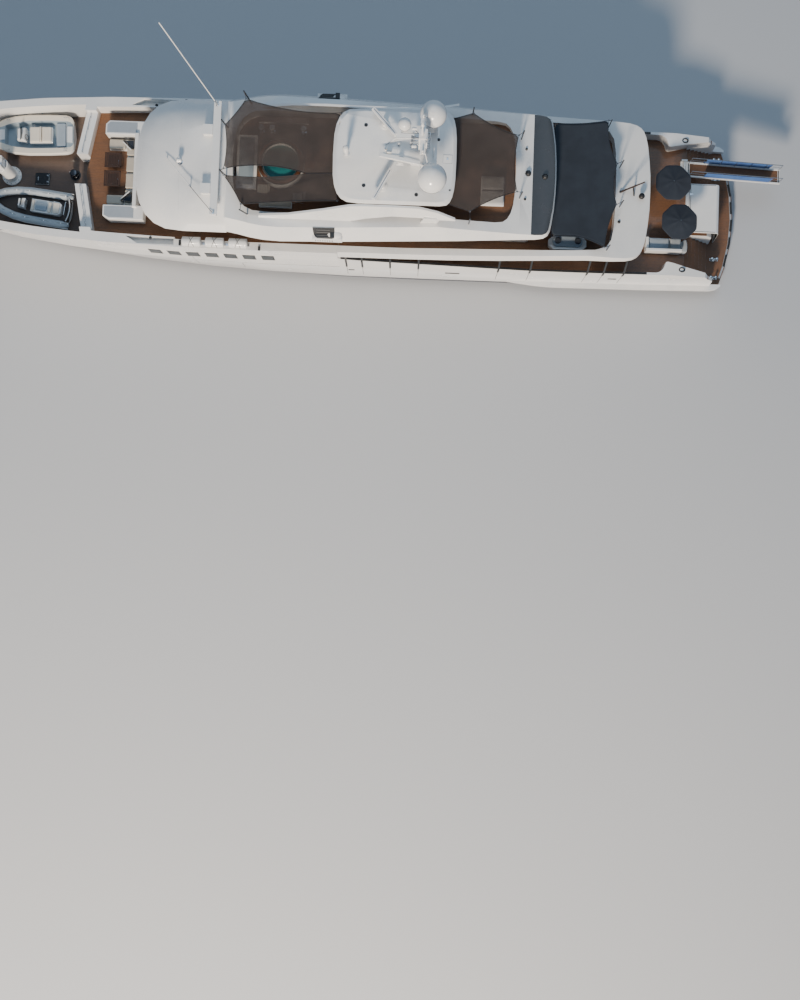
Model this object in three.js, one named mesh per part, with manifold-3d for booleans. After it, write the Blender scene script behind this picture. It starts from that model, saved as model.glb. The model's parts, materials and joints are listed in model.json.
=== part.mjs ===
// Motor yacht with three decks, as a 1:2 model.
// Sizes and places are metres of the real yacht. The group's scale turns them into
// millimetres of the model. +X is forward, +Y is port and +Z is up. The origin is on the
// waterline, amidships, on the centre line.
import * as THREE from 'three';
import { mergeVertices } from 'three/addons/utils/BufferGeometryUtils.js';
import Module from 'manifold-3d';

const MM_PER_METRE = 500;
const SEAM = 0.001;
const RUNNING_GAP = 0.02;

const BOW = 28;
const STERN = -28;
const HALF_BEAM = 4.75;

const PLATFORM_Z = 0.6;
const MAIN_DECK_Z = 2.6;
const TENDER_DECK_Z = 4.4;
const UPPER_SLAB_Z = 4.95;
const BRIDGE_DECK_Z = 5.3;
const CAP_Z = 6.2;
const SUNDECK_SLAB_Z = 7.6;
const SUNDECK_Z = 8.0;
const COAMING_Z = 8.9;
const HARDTOP_LOW_Z = 10.25;
const HARDTOP_Z = 10.5;
const CAP_WIDTH = 0.5;
const BOW_CAP_WIDTH = 0.62;
const FULL_HULL_AFT_X = -1.8;

const wasm = await Module();
wasm.setup();

const finishes = {
  whitePaint: { color: 0xe9e7e2, roughness: 0.3, metalness: 0 },
  hullPaint: { color: 0xdfe4e8, roughness: 0.22, metalness: 0 },
  glass: { color: 0x0d1418, roughness: 0.08, metalness: 0 },
  steel: { color: 0xb9bcbf, roughness: 0.25, metalness: 1 },
  bronze: { color: 0x9c7a45, roughness: 0.35, metalness: 1 },
  meshCloth: { color: 0x3a3334, roughness: 0.9, metalness: 0 },
  navyCloth: { color: 0x16202e, roughness: 0.9, metalness: 0 },
  cushion: { color: 0xd8cfbf, roughness: 0.85, metalness: 0 },
  teak: { color: 0x7a4a2a, roughness: 0.7, metalness: 0 },
  tube: { color: 0xc9d6df, roughness: 0.6, metalness: 0 },
  darkMetal: { color: 0x22252a, roughness: 0.5, metalness: 0.4 },
};

const yacht = new THREE.Group();
yacht.scale.setScalar(MM_PER_METRE);

function add(name, geometry, finish, position = [0, 0, 0], rotation = [0, 0, 0]) {
  const mesh = new THREE.Mesh(geometry, new THREE.MeshStandardMaterial(finishes[finish]));
  mesh.name = name;
  mesh.position.set(...position);
  mesh.rotation.set(...rotation);
  yacht.add(mesh);
}

// Solids, joined and cut

function solid(geometry) {
  const bare = geometry.clone();
  bare.deleteAttribute('normal');
  bare.deleteAttribute('uv');
  const merged = mergeVertices(bare, 1e-5);
  return new wasm.Manifold(new wasm.Mesh({
    numProp: 3,
    vertProperties: merged.attributes.position.array,
    triVerts: new Uint32Array(merged.index.array),
  }));
}

function surface(manifold) {
  const { vertProperties, triVerts } = manifold.getMesh();
  const geometry = new THREE.BufferGeometry();
  geometry.setAttribute('position', new THREE.BufferAttribute(vertProperties, 3));
  geometry.setIndex(new THREE.BufferAttribute(triVerts, 1));
  return geometry;
}

function join(...geometries) {
  return surface(geometries.map(solid).reduce((whole, piece) => whole.add(piece)));
}

function cut(body, ...tools) {
  return surface(tools.map(solid).reduce((whole, tool) => whole.subtract(tool), solid(body)));
}

function common(first, second) {
  return surface(solid(first).intersect(solid(second)));
}

// Plain shapes, all placed in the yacht's frame

function box(x0, x1, y0, y1, z0, z1) {
  const geometry = new THREE.BoxGeometry(x1 - x0, y1 - y0, z1 - z0);
  return geometry.translate((x0 + x1) / 2, (y0 + y1) / 2, (z0 + z1) / 2);
}

function extrude(points, depth) {
  const shape = new THREE.Shape(points.map(([a, b]) => new THREE.Vector2(a, b)));
  return new THREE.ExtrudeGeometry(shape, { depth, bevelEnabled: false });
}

// An outline in plan, standing between two levels.
function prism(outline, low, high) {
  return extrude(outline, high - low).translate(0, 0, low);
}

// A side profile of x and z, as thick as the span from y0 to y1.
function sidePlate(profile, y0, y1) {
  const turn = new THREE.Matrix4().makeBasis(
    new THREE.Vector3(1, 0, 0), new THREE.Vector3(0, 0, 1), new THREE.Vector3(0, -1, 0));
  return extrude(profile, y1 - y0).applyMatrix4(turn).translate(0, y1, 0);
}

function rod(from, to, radius, sides = 8) {
  const start = new THREE.Vector3(...from);
  const end = new THREE.Vector3(...to);
  const length = start.distanceTo(end);
  const geometry = new THREE.CylinderGeometry(radius, radius, length, sides);
  const direction = end.clone().sub(start).normalize();
  const turn = new THREE.Quaternion().setFromUnitVectors(new THREE.Vector3(0, 1, 0), direction);
  const middle = start.add(end).multiplyScalar(0.5);
  return geometry.applyQuaternion(turn).translate(middle.x, middle.y, middle.z);
}

// A turned piece standing on z, from a profile of radius and height.
function turned(profile, sides = 16) {
  const points = profile.map(([radius, height]) => new THREE.Vector2(radius, height));
  return new THREE.LatheGeometry(points, sides).rotateX(Math.PI / 2);
}

// A closed body through rings of [x, y, z] with equal counts, from the lowest to the highest,
// each ring going anticlockwise seen from above.
function stack(rings) {
  const count = rings[0].length;
  const index = [];
  rings.slice(1).forEach((_, level) => {
    for (let i = 0; i < count; i += 1) {
      const next = (i + 1) % count;
      const low = level * count;
      const high = low + count;
      index.push(low + i, low + next, high + next, low + i, high + next, high + i);
    }
  });
  const flat = (ring) => ring.map(([x, y]) => new THREE.Vector2(x, y));
  const top = (rings.length - 1) * count;
  for (const [a, b, c] of THREE.ShapeUtils.triangulateShape(flat(rings[0]), [])) {
    index.push(a, c, b);
  }
  for (const [a, b, c] of THREE.ShapeUtils.triangulateShape(flat(rings.at(-1)), [])) {
    index.push(top + a, top + b, top + c);
  }
  const geometry = new THREE.BufferGeometry();
  geometry.setAttribute('position', new THREE.Float32BufferAttribute(rings.flat(2), 3));
  geometry.setIndex(index);
  return geometry;
}

// A closed body through rings of [x, y, z] with equal counts, one behind the other along x.
function loft(rings) {
  const count = rings[0].length;
  const index = [];
  rings.slice(1).forEach((_, at) => {
    for (let i = 0; i < count; i += 1) {
      const next = (i + 1) % count;
      const near = at * count;
      const far = near + count;
      index.push(near + i, near + next, far + next, near + i, far + next, far + i);
    }
  });
  const last = (rings.length - 1) * count;
  for (let i = 1; i < count - 1; i += 1) {
    index.push(0, i + 1, i, last, last + i, last + i + 1);
  }
  const geometry = new THREE.BufferGeometry();
  geometry.setAttribute('position', new THREE.Float32BufferAttribute(rings.flat(2), 3));
  geometry.setIndex(index);
  return geometry;
}

// A plan outline that is symmetric about the centre line. Each end is a superellipse:
// sweep is its length along x, and power makes it round (2) or square with round corners.
function plan({ aft, fore, half, aftSweep, foreSweep, power = 3, steps = 6 }) {
  const end = (x, direction, sweep) => {
    const points = [];
    for (let i = 0; i <= steps; i += 1) {
      const angle = (i / steps) * (Math.PI / 2);
      const along = x - direction * sweep * (1 - Math.sin(angle) ** (2 / power));
      points.push([along, half * Math.cos(angle) ** (2 / power)]);
    }
    points[steps][1] = 0;
    return points;
  };
  const foreEnd = end(fore, 1, foreSweep);
  const aftEnd = end(aft, -1, aftSweep);
  const port = [...foreEnd.slice(0, -1).reverse(), ...aftEnd];
  const starboard = port.slice(0, -1).reverse().map(([x, y]) => [x, -y]);
  return [[fore, 0], ...port, ...starboard];
}

// A plan outline through port rows of x and half breadth, from fore to the aft end on the centre
// line, drawn in by a margin all round.
function outlineThrough(rows, by = 0) {
  const starboard = rows.slice(0, -1).reverse().map(([x, y]) => [x, -y]);
  const points = [...rows, ...starboard];
  return points.map(([x, y], i) => {
    const [ax, ay] = points[(i + points.length - 1) % points.length];
    const [bx, by2] = points[(i + 1) % points.length];
    const length = Math.hypot(bx - ax, by2 - ay);
    return [x - ((by2 - ay) / length) * by, y + ((bx - ax) / length) * by];
  });
}

const raise = (outline, z) => outline.map(([x, y]) => [x, y, z]);

// A body through plan outlines, one for each row of level and outline.
const stackPlans = (rows) => stack(rows.map(([z, shape]) => raise(plan(shape), z)));

// The hull's lines: for each level its height, the stern and stem on the centre line, where the
// full beam starts and ends, the half breadth there, the two powers of the bow curve, and the
// share of the half breadth that is left at the stern.
const hullLevels = [
  { z: -2.9, stern: -13, stem: 22, foreFull: -3, aftFull: -6, half: 0.5, a: 1.5, b: 1, share: 0.3 },
  { z: -2.7, stern: -14.5, stem: 22.7, foreFull: -3, aftFull: -6, half: 2.0, a: 1.6, b: 1, share: 0.3 },
  { z: -2.1, stern: -17.5, stem: 23.4, foreFull: -4, aftFull: -8, half: 3.6, a: 1.8, b: 0.9, share: 0.45 },
  { z: -1.2, stern: -19.8, stem: 24.3, foreFull: -5, aftFull: -10, half: 4.4, a: 2, b: 0.72, share: 0.7 },
  { z: -0.55, stern: -23, stem: 24.8, foreFull: -6, aftFull: -12, half: 4.6, a: 2, b: 0.66, share: 0.85 },
  { z: -0.15, stern: -27.3, stem: 24.9, foreFull: -6, aftFull: -14, half: 4.68, a: 2, b: 0.62, share: 0.93 },
  { z: 0, stern: -27.6, stem: 25, foreFull: -6, aftFull: -14, half: 4.7, a: 2, b: 0.6, share: 0.955 },
  { z: 0.6, stern: STERN, stem: 25.3, foreFull: -5, aftFull: -14, half: 4.75, a: 2.2, b: 0.57, share: 0.965 },
  { z: 3, stern: STERN, stem: 26.5, foreFull: -1, aftFull: -14, half: 4.75, a: 2.6, b: 0.5, share: 0.965 },
  { z: 6.7, stern: STERN, stem: BOW, foreFull: 2.5, aftFull: -14, half: 4.75, a: 3, b: 0.4545, share: 0.96 },
];
const TRANSOM_CAMBER = 0.9;
const hullStations = [0, 0.04, 0.1, 0.18, 0.28, 0.38, 0.48, 0.57, 0.65, 0.73, 0.8, 0.86, 0.91, 0.95,
  0.98];

function breadthAt(x, level) {
  const bow = Math.max(0, (x - level.foreFull) / (level.stem - level.foreFull));
  const aftLength = level.aftFull - level.stern;
  const run = Math.min(1, Math.max(0, (level.aftFull - x) / aftLength));
  const foreShare = Math.max(0, 1 - bow ** level.a) ** level.b;
  return level.half * foreShare * (1 - (1 - level.share) * run ** 2);
}

function levelAt(z) {
  const above = Math.max(1, hullLevels.findIndex((level) => level.z >= z));
  const low = hullLevels[above - 1];
  const high = hullLevels[above];
  const t = (z - low.z) / (high.z - low.z);
  const mix = Object.keys(low).map((key) => [key, low[key] + t * (high[key] - low[key])]);
  return Object.fromEntries(mix);
}

const hullHalf = (x, z) => breadthAt(x, levelAt(z));

function hullRing(level) {
  const corner = level.stern + TRANSOM_CAMBER;
  const port = hullStations.map((s) => {
    const x = corner + s * (level.stem - corner);
    return [x, breadthAt(x, level), level.z];
  }).reverse();
  const starboard = port.map(([x, y, z]) => [x, -y, z]).reverse();
  const cornerHalf = breadthAt(corner, level);
  const across = [-0.7, -0.35, 0, 0.35, 0.7].reverse().map((share) => {
    const x = level.stern + TRANSOM_CAMBER * Math.abs(share) ** 2;
    return [x, share * cornerHalf, level.z];
  });
  return [[level.stem, 0, level.z], ...port, ...across, ...starboard];
}

// A deck well's outline inside the hull's sides, from aft to fore, at a margin from the skin.
function wellOutline(aft, fore, z, margin, steps = 8) {
  const port = [];
  for (let i = 0; i <= steps; i += 1) {
    const x = fore + (i / steps) * (aft - fore);
    port.push([x, hullHalf(x, z) - margin]);
  }
  return [...port, ...port.slice().reverse().map(([x, y]) => [x, -y])];
}

// Hull: one body from the keel up to the main deck aft and the tender deck forward

const BULWARK = 0.16;
const STAIR_TOP_X = -24.3;
const STAIR_FOOT_X = -26.5;
const STAIR_INNER = 1.7;
const STAIR_STEPS = 7;
const GARAGE_HALF = 1.7;
const WING_INNER_TOP = 4.06;
const WING_INNER_FOOT = 4.5;
const BAY_AFT_X = 15;
const BAY_FORE_X = 23;
const BAY_CAP = 0.45;
const BREAKWATER = 0.7;
const BREAKWATER_SWEEP = 0.19;
const BREAKWATER_Z = 5.9;
const PASSAGE_PORT = 0.85;
const PASSAGE_STARBOARD = -1.05;
const MOORING_DECK_Z = 5.6;
const MOORING_CAP = 0.32;
const SHAFT_Y = 2.2;
const SHAFT_Z = -1.7;
const SHAFT_RADIUS = 0.1;
const SHAFT_BORE = 0.14;
const SHAFT_FORE_X = -12;

// Sheer lines: x and z of the bulwarks' top edge, aft and forward.
const aftSheer = [
  [-26.4, 1.4], [-26.3, 2.2], [-25.6, 3.15], [-23.4, 3.55], [-14, 3.6], [FULL_HULL_AFT_X - 1.6, 4.6],
  [FULL_HULL_AFT_X - SEAM, 4.85],
];
const foreSheer = [[FULL_HULL_AFT_X, CAP_Z], [8.2, CAP_Z], [18, 6.45], [BOW + 1, 6.7]];

// The stairs widen towards the platform, as the wings beside them narrow.
function sternStairs(side) {
  const run = (STAIR_TOP_X - STAIR_FOOT_X) / STAIR_STEPS;
  const rise = (MAIN_DECK_Z - PLATFORM_Z) / STAIR_STEPS;
  const profile = [[STAIR_TOP_X, CAP_Z], [STAIR_TOP_X, MAIN_DECK_Z - rise]];
  for (let i = 1; i < STAIR_STEPS; i += 1) {
    profile.push([STAIR_TOP_X - i * run, MAIN_DECK_Z - i * rise]);
    profile.push([STAIR_TOP_X - i * run, MAIN_DECK_Z - (i + 1) * rise]);
  }
  profile.push([STAIR_FOOT_X - 0.3, PLATFORM_Z], [STAIR_FOOT_X - 0.3, CAP_Z]);
  const flight = [[STAIR_TOP_X, STAIR_INNER], [STAIR_TOP_X, WING_INNER_TOP], [STAIR_FOOT_X, WING_INNER_FOOT],
    [STAIR_FOOT_X - 0.5, WING_INNER_FOOT], [STAIR_FOOT_X - 0.5, STAIR_INNER]];
  const outline = flight.map(([x, y]) => [x, side * y]);
  return common(sidePlate(profile, -6, 6), prism(side > 0 ? outline : outline.reverse(), 0, CAP_Z + 1));
}

// The stern block between the stairs is set back under the transom door, which covers its top and
// its aft face.
const garageCut = sidePlate([
  [-24.35, CAP_Z], [-24.35, 2.5], [-25.8, 2.5], [-26.2, 2.1], [-26.4, PLATFORM_Z], [STERN - 1, PLATFORM_Z],
  [STERN - 1, CAP_Z],
], -GARAGE_HALF, GARAGE_HALF);
const doorSill = box(-24.5, -24.3, -1.62, 1.62, 2.4, 2.8);

const hullForm = stack(hullLevels.map(hullRing));
const hullBody = common(hullForm, sidePlate([
  [STERN - 1, PLATFORM_Z], [-26.5, PLATFORM_Z], [-26.3, 2.2], [-25.95, MAIN_DECK_Z],
  [FULL_HULL_AFT_X, MAIN_DECK_Z], [FULL_HULL_AFT_X, TENDER_DECK_Z], [BOW + 1, TENDER_DECK_Z], [BOW + 1, -4],
  [STERN - 1, -4],
], -6, 6));
const SKEG = sidePlate([[-22, -1.1], [-22, -1.6], [-18, -2.9], [-12, -2.9], [-12, -1.1]], -0.16, 0.16);

function shaftBore(side) {
  return rod([-22.05, side * SHAFT_Y, SHAFT_Z], [SHAFT_FORE_X, side * SHAFT_Y, SHAFT_Z], SHAFT_BORE, 12);
}

const RUDDER_X = -24.1;
const STOCK_RADIUS = 0.12;
const STOCK_TOP_Z = -0.25;
const stockBore = (side) => rod([RUDDER_X, side * SHAFT_Y, -1.2], [RUDDER_X, side * SHAFT_Y, STOCK_TOP_Z + 0.03],
  STOCK_RADIUS + 0.04, 12);

const BRACKET_X = -21.6;
function shaftBracket(side) {
  const y = side * SHAFT_Y;
  const leg = sidePlate([
    [BRACKET_X - 0.25, SHAFT_Z + 0.1], [BRACKET_X + 0.25, SHAFT_Z + 0.1],
    [BRACKET_X + 0.45, -0.4], [BRACKET_X - 0.05, -0.4],
  ], y - 0.05, y + 0.05);
  const barrel = rod([BRACKET_X - 0.35, y, SHAFT_Z], [BRACKET_X + 0.35, y, SHAFT_Z], 0.22, 12);
  return join(leg, barrel);
}

// Passerelle's foot: a pad with two cheeks that hold the pin.
const PASSERELLE_X = -24.1;
const PASSERELLE_Y = -2.55;
const PASSERELLE_Z = 2.85;
const PASSERELLE_DROP = 0.12;
const passerelleFoot = [
  box(-24.28, -23.9, -3.15, -1.95, MAIN_DECK_Z - 0.1, 2.7),
  box(-24.28, -23.9, -3.15, -3.07, 2.6, 3.05),
  box(-24.28, -23.9, -2.03, -1.95, 2.6, 3.05),
];

// Rubbing strake at the platform's level, from table rows of x and reach along the stern quarter.
const strakeRows = [[-27.2, 0.02], [-26.95, 0.2], [-26.5, 0.3], [-25, 0.3], [-22, 0.3], [-19, 0.3], [-16, 0.3],
  [-14.8, 0.24], [-12.9, 0.02]];
function rubbingStrake(side) {
  const outer = strakeRows.map(([x, reach]) => [x, side * (hullHalf(x, 0.75) + reach)]);
  const inner = strakeRows.map(([x]) => [x, side * (hullHalf(x, 0.75) - 0.1)]);
  const outline = [...outer, ...inner.reverse()];
  return prism(side > 0 ? outline : outline.reverse(), 0.6, 0.95);
}

// Chocks under the two tenders: a cross bearer at each x, tied by a keel bearer.
const TENDER_Z = TENDER_DECK_Z + 0.15;
const jetPlace = { at: [15.2, -2.42], turn: 0.045, bearer: 0.5 };
const inflatablePlace = { at: [15.15, 2.45], turn: -0.125, bearer: 0.45 };
function chocks({ at, turn, bearer }) {
  const low = TENDER_DECK_Z - 0.02;
  const high = TENDER_Z - SEAM;
  const frame = join(...[1, 3.2].map((x) => box(x, x + 0.2, -bearer, bearer, low, high)),
    box(1, 3.4, -0.05, 0.05, low, TENDER_DECK_Z + 0.08));
  return frame.rotateZ(turn).translate(at[0], at[1], 0);
}
const HATCH = { aft: 16.9, fore: 17.8, starboard: -0.2, port: 0.55 };
const hatchCoaming = cut(
  box(HATCH.aft, HATCH.fore, HATCH.starboard, HATCH.port, TENDER_DECK_Z - 0.02, TENDER_DECK_Z + 0.04),
  box(HATCH.aft + 0.1, HATCH.fore - 0.1, HATCH.starboard + 0.1, HATCH.port - 0.1, TENDER_DECK_Z, TENDER_Z),
);

// Anchor pockets: round recesses in the bow, each square to the side where it lies.
const ANCHOR_X = 23.6;
const ANCHOR_Z = 3.65;
const POCKET_RADIUS = 0.58;
const POCKET_DEPTH = 0.3;
const pocketHalf = hullHalf(ANCHOR_X, ANCHOR_Z);
const pocketSlope = (hullHalf(ANCHOR_X + 0.2, ANCHOR_Z) - hullHalf(ANCHOR_X - 0.2, ANCHOR_Z)) / 0.4;
const pocketTurn = Math.atan(pocketSlope);
const pocket = (side) => rod([0, -POCKET_DEPTH, 0], [0, 1, 0], POCKET_RADIUS, 20)
  .rotateZ(pocketTurn).translate(ANCHOR_X, pocketHalf, ANCHOR_Z).scale(1, side, 1);
const sunk = (side) => {
  const tool = pocket(side);
  if (side < 0) tool.setIndex([...tool.index.array].reverse());
  return tool;
};

const hull = cut(
  join(cut(hullBody, sternStairs(1), sternStairs(-1), garageCut), SKEG, shaftBracket(1), shaftBracket(-1),
    rubbingStrake(1), rubbingStrake(-1), doorSill, ...passerelleFoot, chocks(jetPlace), chocks(inflatablePlace),
    hatchCoaming),
  shaftBore(1), shaftBore(-1), stockBore(1), stockBore(-1), sunk(1), sunk(-1),
);
add('hull', hull, 'hullPaint');

// Stowed anchors: crown, two flukes and shank, lying in the pockets
const anchor = join(
  box(-0.36, 0.36, -POCKET_DEPTH + SEAM, 0.02, -0.4, -0.22),
  box(-0.07, 0.07, -POCKET_DEPTH + SEAM, -0.1, -0.3, 0.45),
  sidePlate([[-0.34, -0.25], [-0.1, -0.25], [-0.12, 0.1], [-0.24, 0.36]], -0.2, -0.08),
  sidePlate([[0.1, -0.25], [0.34, -0.25], [0.24, 0.36], [0.12, 0.1]], -0.2, -0.08),
);
for (const [side, hand] of [['port', 1], ['starboard', -1]]) {
  add(`anchor_${side}`, hand > 0 ? anchor : anchor.clone().rotateZ(Math.PI), 'steel',
    [ANCHOR_X, hand * pocketHalf, ANCHOR_Z], [0, 0, hand * pocketTurn]);
}

// Decks and bulwarks above the hull: the bridge deck, the bow deck, the bulwark round both with the
// two breakwaters, and the main-deck bulwarks that end in the stern wings

// The breakwaters sweep aft from the centre line, so the decks meet along a shallow point.
const sweptX = (x, y) => x - BREAKWATER_SWEEP * Math.abs(y);
const sweptEnd = (x, half) => [[sweptX(x, half), -half], [x, 0], [sweptX(x, half), half]];
const sweptDeck = (fore, half = 6) => [...sweptEnd(fore, half), [FULL_HULL_AFT_X - 1, half],
  [FULL_HULL_AFT_X - 1, -half]];
const BREAKWATER_AFT_X = BAY_AFT_X - BREAKWATER;
const bridgeDeck = common(common(hullForm, box(FULL_HULL_AFT_X, BAY_AFT_X, -6, 6, TENDER_DECK_Z + SEAM,
  BRIDGE_DECK_Z)), prism(sweptDeck(BREAKWATER_AFT_X), 0, 9));
add('bridge_deck', bridgeDeck, 'hullPaint');
const bowDeck = common(hullForm, box(BAY_FORE_X, BOW + 1, -6, 6, TENDER_DECK_Z + SEAM, MOORING_DECK_Z));
add('bow_deck', bowDeck, 'hullPaint');

const bridgeWell = join(
  prism(wellOutline(FULL_HULL_AFT_X - 1, 8.35, 6.3, CAP_WIDTH), BRIDGE_DECK_Z - 0.5, CAP_Z + 1),
  common(
    prism(wellOutline(8.25, BAY_AFT_X, 6.3, BOW_CAP_WIDTH), BRIDGE_DECK_Z - 0.5, CAP_Z + 1),
    prism(sweptDeck(BREAKWATER_AFT_X), 0, 9),
  ),
);
const bayWell = cut(
  prism(wellOutline(BAY_AFT_X - 1, BAY_FORE_X, 6, BAY_CAP), TENDER_DECK_Z, CAP_Z + 1),
  prism(sweptDeck(BAY_AFT_X), 0, 9),
);
const mooringWell = prism(wellOutline(BAY_FORE_X + 0.4, 26.9, 6.3, MOORING_CAP), TENDER_DECK_Z, CAP_Z + 1);
const passage = box(BREAKWATER_AFT_X - 0.3, BAY_AFT_X + 0.1, PASSAGE_STARBOARD, PASSAGE_PORT,
  TENDER_DECK_Z - 0.1, CAP_Z + 1);
const breakwaterTrim = prism([...sweptEnd(BAY_AFT_X + 0.01, 3.7), ...sweptEnd(BREAKWATER_AFT_X - 0.01, 3.7).reverse()],
  BREAKWATER_Z, CAP_Z + 1);
// Pocket in the cap beside the wheelhouse, with a slanted fore end.
const capPocket = (side) => {
  const outline = [[8.4, 4.14], [11.4, 4.14], [10.65, 4.58], [8.4, 4.58]].map(([x, y]) => [x, side * y]);
  return prism(side > 0 ? outline : outline.reverse(), 5.75, CAP_Z + 1);
};
const bowBulwark = cut(
  common(hullForm, sidePlate([
    [FULL_HULL_AFT_X, TENDER_DECK_Z + SEAM], ...foreSheer, [BOW + 1, TENDER_DECK_Z + SEAM],
  ].reverse(), -6, 6)),
  prism(sweptDeck(BREAKWATER_AFT_X + SEAM), TENDER_DECK_Z - 1, BRIDGE_DECK_Z + SEAM),
  box(BAY_FORE_X - SEAM, BOW + 1, -6, 6, TENDER_DECK_Z - 1, MOORING_DECK_Z + SEAM),
  bridgeWell, bayWell, mooringWell, passage, breakwaterTrim, capPocket(1), capPocket(-1),
);
add('bow_bulwark', bowBulwark, 'hullPaint');

// Inner edge of the stern wings' top, x and y from aft to the fillet where it meets the bulwark.
const wingInner = [[-24.5, 4.11], [-23.46, 3.86], [-23.05, 3.78], [-22.93, 3.82], [-22.87, 3.98], [-22.8, 4.18],
  [-22.68, 4.35], [-22.5, 4.48], [-22.2, 4.56]];
function wing(side) {
  const outline = [...wingInner, [-22.2, 6], [-24.5, 6]].map(([x, y]) => [x, side * y]);
  return prism(side > 0 ? outline.reverse() : outline, MAIN_DECK_Z - 1, CAP_Z + 2);
}
const mainWell = cut(
  prism(wellOutline(STAIR_TOP_X, FULL_HULL_AFT_X + 1, 3, BULWARK), MAIN_DECK_Z - 1, CAP_Z + 1),
  wing(1), wing(-1),
);
const aftBulwarks = cut(
  common(hullForm, sidePlate([
    [-25.9, MAIN_DECK_Z + SEAM], ...aftSheer.slice(2), [FULL_HULL_AFT_X - SEAM, MAIN_DECK_Z + SEAM],
  ].reverse(), -6, 6)),
  mainWell, sternStairs(1), sternStairs(-1), box(-30, STAIR_TOP_X + 0.05, -STAIR_INNER - 0.1, STAIR_INNER + 0.1, 0, 9),
);
for (const [side, hand] of [['port', 1], ['starboard', -1]]) {
  const half = hand > 0 ? box(-30, 0, 0, 6, 0, 9) : box(-30, 0, -6, 0, 0, 9);
  add(`main_bulwark_${side}`, common(aftBulwarks, half), 'hullPaint');
}

// Propellers with their shafts, and rudders

const PROPELLER_X = -22.45;
const PROPELLER_RADIUS = 0.92;
const BLADES = 5;
const BLADE_PITCH = 0.62;

function propeller() {
  const shaft = rod([PROPELLER_X + 0.1, 0, 0], [SHAFT_FORE_X - 0.1, 0, 0], SHAFT_RADIUS, 12);
  const hub = rod([PROPELLER_X - 0.4, 0, 0], [PROPELLER_X + 0.3, 0, 0], 0.18, 12);
  const blades = [];
  for (let i = 0; i < BLADES; i += 1) {
    const outline = [[-0.1, 0.1], [-0.28, 0.45], [-0.22, 0.8], [0, PROPELLER_RADIUS], [0.24, 0.78],
      [0.26, 0.42], [0.1, 0.1]];
    const blade = extrude(outline.reverse(), 0.05).translate(0, 0, -0.025);
    blade.rotateY(BLADE_PITCH).rotateX((i / BLADES) * Math.PI * 2).translate(PROPELLER_X, 0, 0);
    blades.push(blade);
  }
  return join(shaft, hub, ...blades);
}

function rudder() {
  const blade = sidePlate([[-0.75, -2.45], [0.4, -2.45], [0.55, -0.75], [-0.95, -0.75]], -0.07, 0.07);
  const stock = rod([0, 0, -0.9], [0, 0, STOCK_TOP_Z], STOCK_RADIUS, 12);
  return join(blade, stock);
}

for (const [side, hand] of [['port', 1], ['starboard', -1]]) {
  add(`propeller_${side}`, propeller(), 'bronze', [0, hand * SHAFT_Y, SHAFT_Z]);
  add(`rudder_${side}`, rudder(), 'hullPaint', [RUDDER_X, hand * SHAFT_Y, 0]);
}

// Main-deck house: walls with a window band, the glass behind it and two sliding doors

const WALL = 0.12;
const PANE = 0.03;
const DOOR_PANEL = 0.06;

const mainHouse = { aft: -18.5, fore: FULL_HULL_AFT_X - 0.06, half: 3.55, aftSweep: 0.5, foreSweep: 0.3 };
const inset = (shape, by) => ({ ...shape, aft: shape.aft + by, fore: shape.fore - by, half: shape.half - by });
const MAIN_SILL_Z = 3.35;
const MAIN_HEAD_Z = 4.65;
// Main-deck windows: x of each window's aft and fore edge.
const mainWindows = [[-17.4, -15.2], [-14.9, -12.7], [-12.4, -10.2], [-9.9, -7.7], [-7.4, -5.2],
  [-4.9, -2.6]];
const MAIN_DOOR_HALF = 1.2;

function house(shape, low, high) {
  return cut(
    prism(plan({ ...shape, power: 6 }), low, high),
    prism(plan({ ...inset(shape, WALL), power: 6 }), low - 1, high + 1),
  );
}

const mainWalls = cut(
  house(mainHouse, MAIN_DECK_Z + SEAM, UPPER_SLAB_Z - SEAM),
  ...mainWindows.map(([aft, fore]) => box(aft, fore, -5, 5, MAIN_SILL_Z, MAIN_HEAD_Z)),
  box(mainHouse.aft - 1, mainHouse.aft + 1, -MAIN_DOOR_HALF, MAIN_DOOR_HALF, MAIN_DECK_Z + 0.1, 4.75),
);
add('main_house_walls', mainWalls, 'whitePaint');

function glassRing(shape, low, high, doorHalf, power = 6) {
  const outer = plan({ ...inset(shape, WALL + SEAM), power });
  const inner = plan({ ...inset(shape, WALL + SEAM + PANE), power });
  return cut(
    prism(outer, low, high),
    prism(inner, low - 1, high + 1),
    box(shape.aft - 1, shape.aft + 1, -doorHalf, doorHalf, low - 1, high + 1),
  );
}
add('main_house_glass', glassRing(mainHouse, MAIN_SILL_Z - 0.15, MAIN_HEAD_Z + 0.15, MAIN_DOOR_HALF + 0.1),
  'glass');

function slidingDoor(hand, doorHalf, low, high) {
  const inner = RUNNING_GAP / 2;
  const outer = doorHalf + 0.08;
  return box(0, DOOR_PANEL, hand > 0 ? inner : -outer, hand > 0 ? outer : -inner, low, high);
}

// Upper deck: slab with the wide side bulwarks and the aft overhang

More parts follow.
